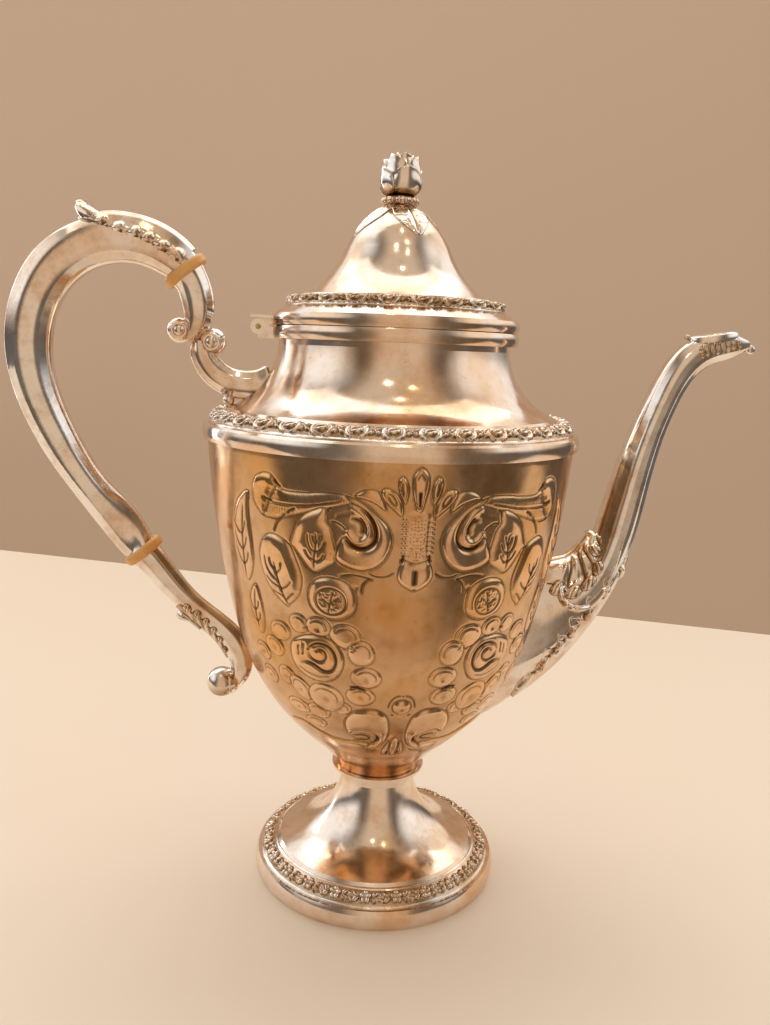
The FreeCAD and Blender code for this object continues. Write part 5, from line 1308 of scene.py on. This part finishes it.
def makeEyes():
    bm = bmesh.new()
    for x, z, breadth, size in scrollEyes["places"]:
        for side in (1.0, -1.0):
            eye = bmesh.new()
            spinSection(eye, scrollEyes["section"], ((360.0, 6, 5),))
            bmesh.ops.recalc_face_normals(eye, faces=eye.faces[:])
            bmesh.ops.scale(eye, vec=(size, size, size), verts=eye.verts[:])
            turnAll(eye, -90.0 * side, "X")
            moveAll(eye, x, side * breadth, z)
            joined = bpy.data.meshes.new("eye")
            eye.to_mesh(joined)
            eye.free()
            bm.from_mesh(joined)
            bpy.data.meshes.remove(joined)
    ball = bmesh.new()
    section = smoothLine(scrollEyes["ball"], perSpan=4)
    section[:, 0] = np.maximum(section[:, 0], 0.0)
    spinSection(ball, section, ((360.0, 6, 8),))
    bmesh.ops.recalc_face_normals(ball, faces=ball.faces[:])
    ballX, ballZ = scrollEyes["ballPlace"]
    turnAll(ball, 90.0, "X")
    moveAll(ball, ballX, 0.0, ballZ)
    ballRadius = max(r for r, _ in scrollEyes["ball"])

    def paintedShadeBelow(places):
        # painted shade: the ball darkens towards its underside, carried in the same attribute as tarnish
        fall = (ballZ - places[:, 2]) / ballRadius
        return places, 0.1 + 0.45 * np.clip(fall, 0.0, 1.0)

    finishPiece("lower_scroll_ball", ball, castSilver, "pot", [], paintedShadeBelow)
    finishPiece("handle_scroll_eyes", bm, castSilver, "pot", [])


makeEyes()
print("scroll ends made")


# Stage, light and camera

stageSettings = {
    "floor": (0.93, 0.80, 0.65, 1.0),
    "wall": (0.86, 0.70, 0.57, 1.0),
    # table top's corners and the wall's distance, in metres
    "front": -0.13,
    "backLeft": (-1.2, 0.867),
    "backRight": (1.2, -0.10),
    "wallAway": 1.0,
    "wallSides": (-0.70, 0.98),
    "wallHeights": (-1.5, 0.80),
}


def plainFinish(name, colour, roughness):
    material = bpy.data.materials.new(name)
    material.use_nodes = True
    shader = material.node_tree.nodes["Principled BSDF"]
    shader.inputs["Base Color"].default_value = colour
    shader.inputs["Roughness"].default_value = roughness
    return material


def stagePlane(name, corners, material):
    bm = bmesh.new()
    bm.faces.new([bm.verts.new(c) for c in corners])
    mesh = bpy.data.meshes.new(name)
    bm.to_mesh(mesh)
    bm.free()
    mesh.materials.append(material)
    plane = bpy.data.objects.new(name, mesh)
    scene.collection.objects.link(plane)


left, right = stageSettings["backLeft"], stageSettings["backRight"]
edge, away = stageSettings["front"], stageSettings["wallAway"]
stagePlane("floor", [(left[0], edge, 0), (right[0], edge, 0), (*right, 0), (*left, 0)],
           plainFinish("paleFloor", stageSettings["floor"], 0.45))
wallLeft, wallRight = stageSettings["wallSides"]
wallFoot, wallTop = stageSettings["wallHeights"]
stagePlane("backdrop", [(wallLeft, away, wallFoot), (wallRight, away, wallFoot), (wallRight, away, wallTop),
                        (wallLeft, away, wallTop)],
           plainFinish("paleWall", stageSettings["wall"], 0.9))

# Plain studio room: beige in front, a dark card to each side of it and pale soft sides
room = {
    "low": (0.64, 0.46, 0.31, 1.0),
    "level": (0.70, 0.53, 0.38, 1.0),
    "high": (0.66, 0.53, 0.40, 1.0),
    "card": (0.075, 0.068, 0.06, 1.0),
    "sideLow": (0.13, 0.12, 0.12, 1.0),
    "sideHigh": (1.1, 1.1, 1.1, 1.0),
    "strength": 1.0,
    # heights between which the colours change
    "lowRamp": (-0.5, -0.1),
    "highRamp": (0.25, 0.95),
    "sideRamp": (0.02, 0.28),
    # how far aside the cards and the pale sides begin and are full
    "cardRamp": (0.24, 0.60),
    "cardShare": 0.85,
    "paleRamp": (0.72, 1.0),
    # the pale sides reach further in where they are higher, and meet behind the wall
    "paleLean": 0.30,
    "behindRamp": (0.2, 0.6),
    "behindShare": 0.6,
}
world = bpy.data.worlds.new("room")
scene.world = world
world.use_nodes = True
roomTree = world.node_tree
background = roomTree.nodes["Background"]
direction = addNode(roomTree, "ShaderNodeTexCoord").outputs["Generated"]
split = addNode(roomTree, "ShaderNodeSeparateXYZ")
roomTree.links.new(direction, split.inputs[0])
rise = split.outputs["Z"]
front = mixColours(roomTree, rampOf(roomTree, rise, *room["lowRamp"]), room["low"], room["level"])
front = mixColours(roomTree, rampOf(roomTree, rise, *room["highRamp"]), front, room["high"])
spread = calculate(roomTree, "ABSOLUTE", split.outputs["X"], 0.0)
cardShare = rampOf(roomTree, spread, *room["cardRamp"], 0.0, room["cardShare"])
front = mixColours(roomTree, cardShare, front, room["card"])
sides = mixColours(roomTree, rampOf(roomTree, rise, *room["sideRamp"]), room["sideLow"], room["sideHigh"])
behind = rampOf(roomTree, split.outputs["Y"], *room["behindRamp"], 0.0, room["behindShare"])
aside = calculate(roomTree, "ADD", spread, calculate(roomTree, "MULTIPLY", rise, room["paleLean"]))
aside = calculate(roomTree, "ADD", aside, behind)
paleShare = rampOf(roomTree, aside, *room["paleRamp"])
roomTree.links.new(mixColours(roomTree, paleShare, front, sides), background.inputs["Color"])
background.inputs["Strength"].default_value = room["strength"]

# soft lamps: (name, place, size, power, colour), all aimed at the pot's middle
lampAim = Vector((0, 0, 0.12))
lamps = [
    ("softOver", (0.0, 0.75, 1.9), (3.0, 1.6), 17.0, (1.0, 0.98, 0.95)),
    ("narrowLeft", (-0.62, 0.56, 0.25), (0.07, 0.55), 0.45, (0.95, 0.97, 1.0)),
    ("roomLampLeft", (-0.12, -0.5, 0.90), (0.05, 0.05), 0.10, (1.0, 0.86, 0.62)),
    ("roomLampRight", (0.15, -0.45, 0.95), (0.045, 0.045), 0.08, (1.0, 0.86, 0.62)),
    ("roomLampHigh", (0.05, -0.2, 1.1), (0.05, 0.05), 0.08, (1.0, 0.86, 0.62)),
]
for lampName, lampPlace, lampSize, power, tint in lamps:
    light = bpy.data.lights.new(lampName, "AREA")
    light.shape = "RECTANGLE"
    light.size, light.size_y = lampSize
    light.energy = power
    light.color = tint
    lamp = bpy.data.objects.new(lampName, light)
    lamp.location = lampPlace
    lamp.rotation_euler = (lampAim - Vector(lampPlace)).to_track_quat("-Z", "Y").to_euler()
    lamp.visible_camera = False
    scene.collection.objects.link(lamp)

cameraView = {
    "distance": 0.3056,
    "height": 0.1912,
    "turn": 7.8,
    "pitch": 10.70,
    "yaw": -0.17,
    "roll": 2.30,
    "focalPixels": 881.6,
    "framePixels": 1025.0,
    "sensor": 36.0,
}
c = cameraView
pitch, yaw, roll = (math.radians(c[k]) for k in ("pitch", "yaw", "roll"))
ahead = Vector((math.sin(yaw) * math.cos(pitch), math.cos(yaw) * math.cos(pitch), -math.sin(pitch)))
right = Vector((math.cos(yaw), -math.sin(yaw), 0.0))
upward = right.cross(ahead)
tiltedRight = math.cos(roll) * right + math.sin(roll) * upward
tiltedUp = -math.sin(roll) * right + math.cos(roll) * upward
placing = Matrix((tiltedRight, tiltedUp, -ahead)).transposed().to_4x4()
placing.translation = (0.0, -c["distance"], c["height"])
cameraData = bpy.data.cameras.new("camera")
cameraData.sensor_fit = "VERTICAL"
cameraData.sensor_height = c["sensor"]
cameraData.lens = c["focalPixels"] / c["framePixels"] * c["sensor"]
cameraData.clip_start = 0.01
camera = bpy.data.objects.new("camera", cameraData)
camera.matrix_world = Matrix.Rotation(math.radians(-c["turn"]), 4, "Z") @ placing
scene.collection.objects.link(camera)
scene.camera = camera
print("stage and camera set")
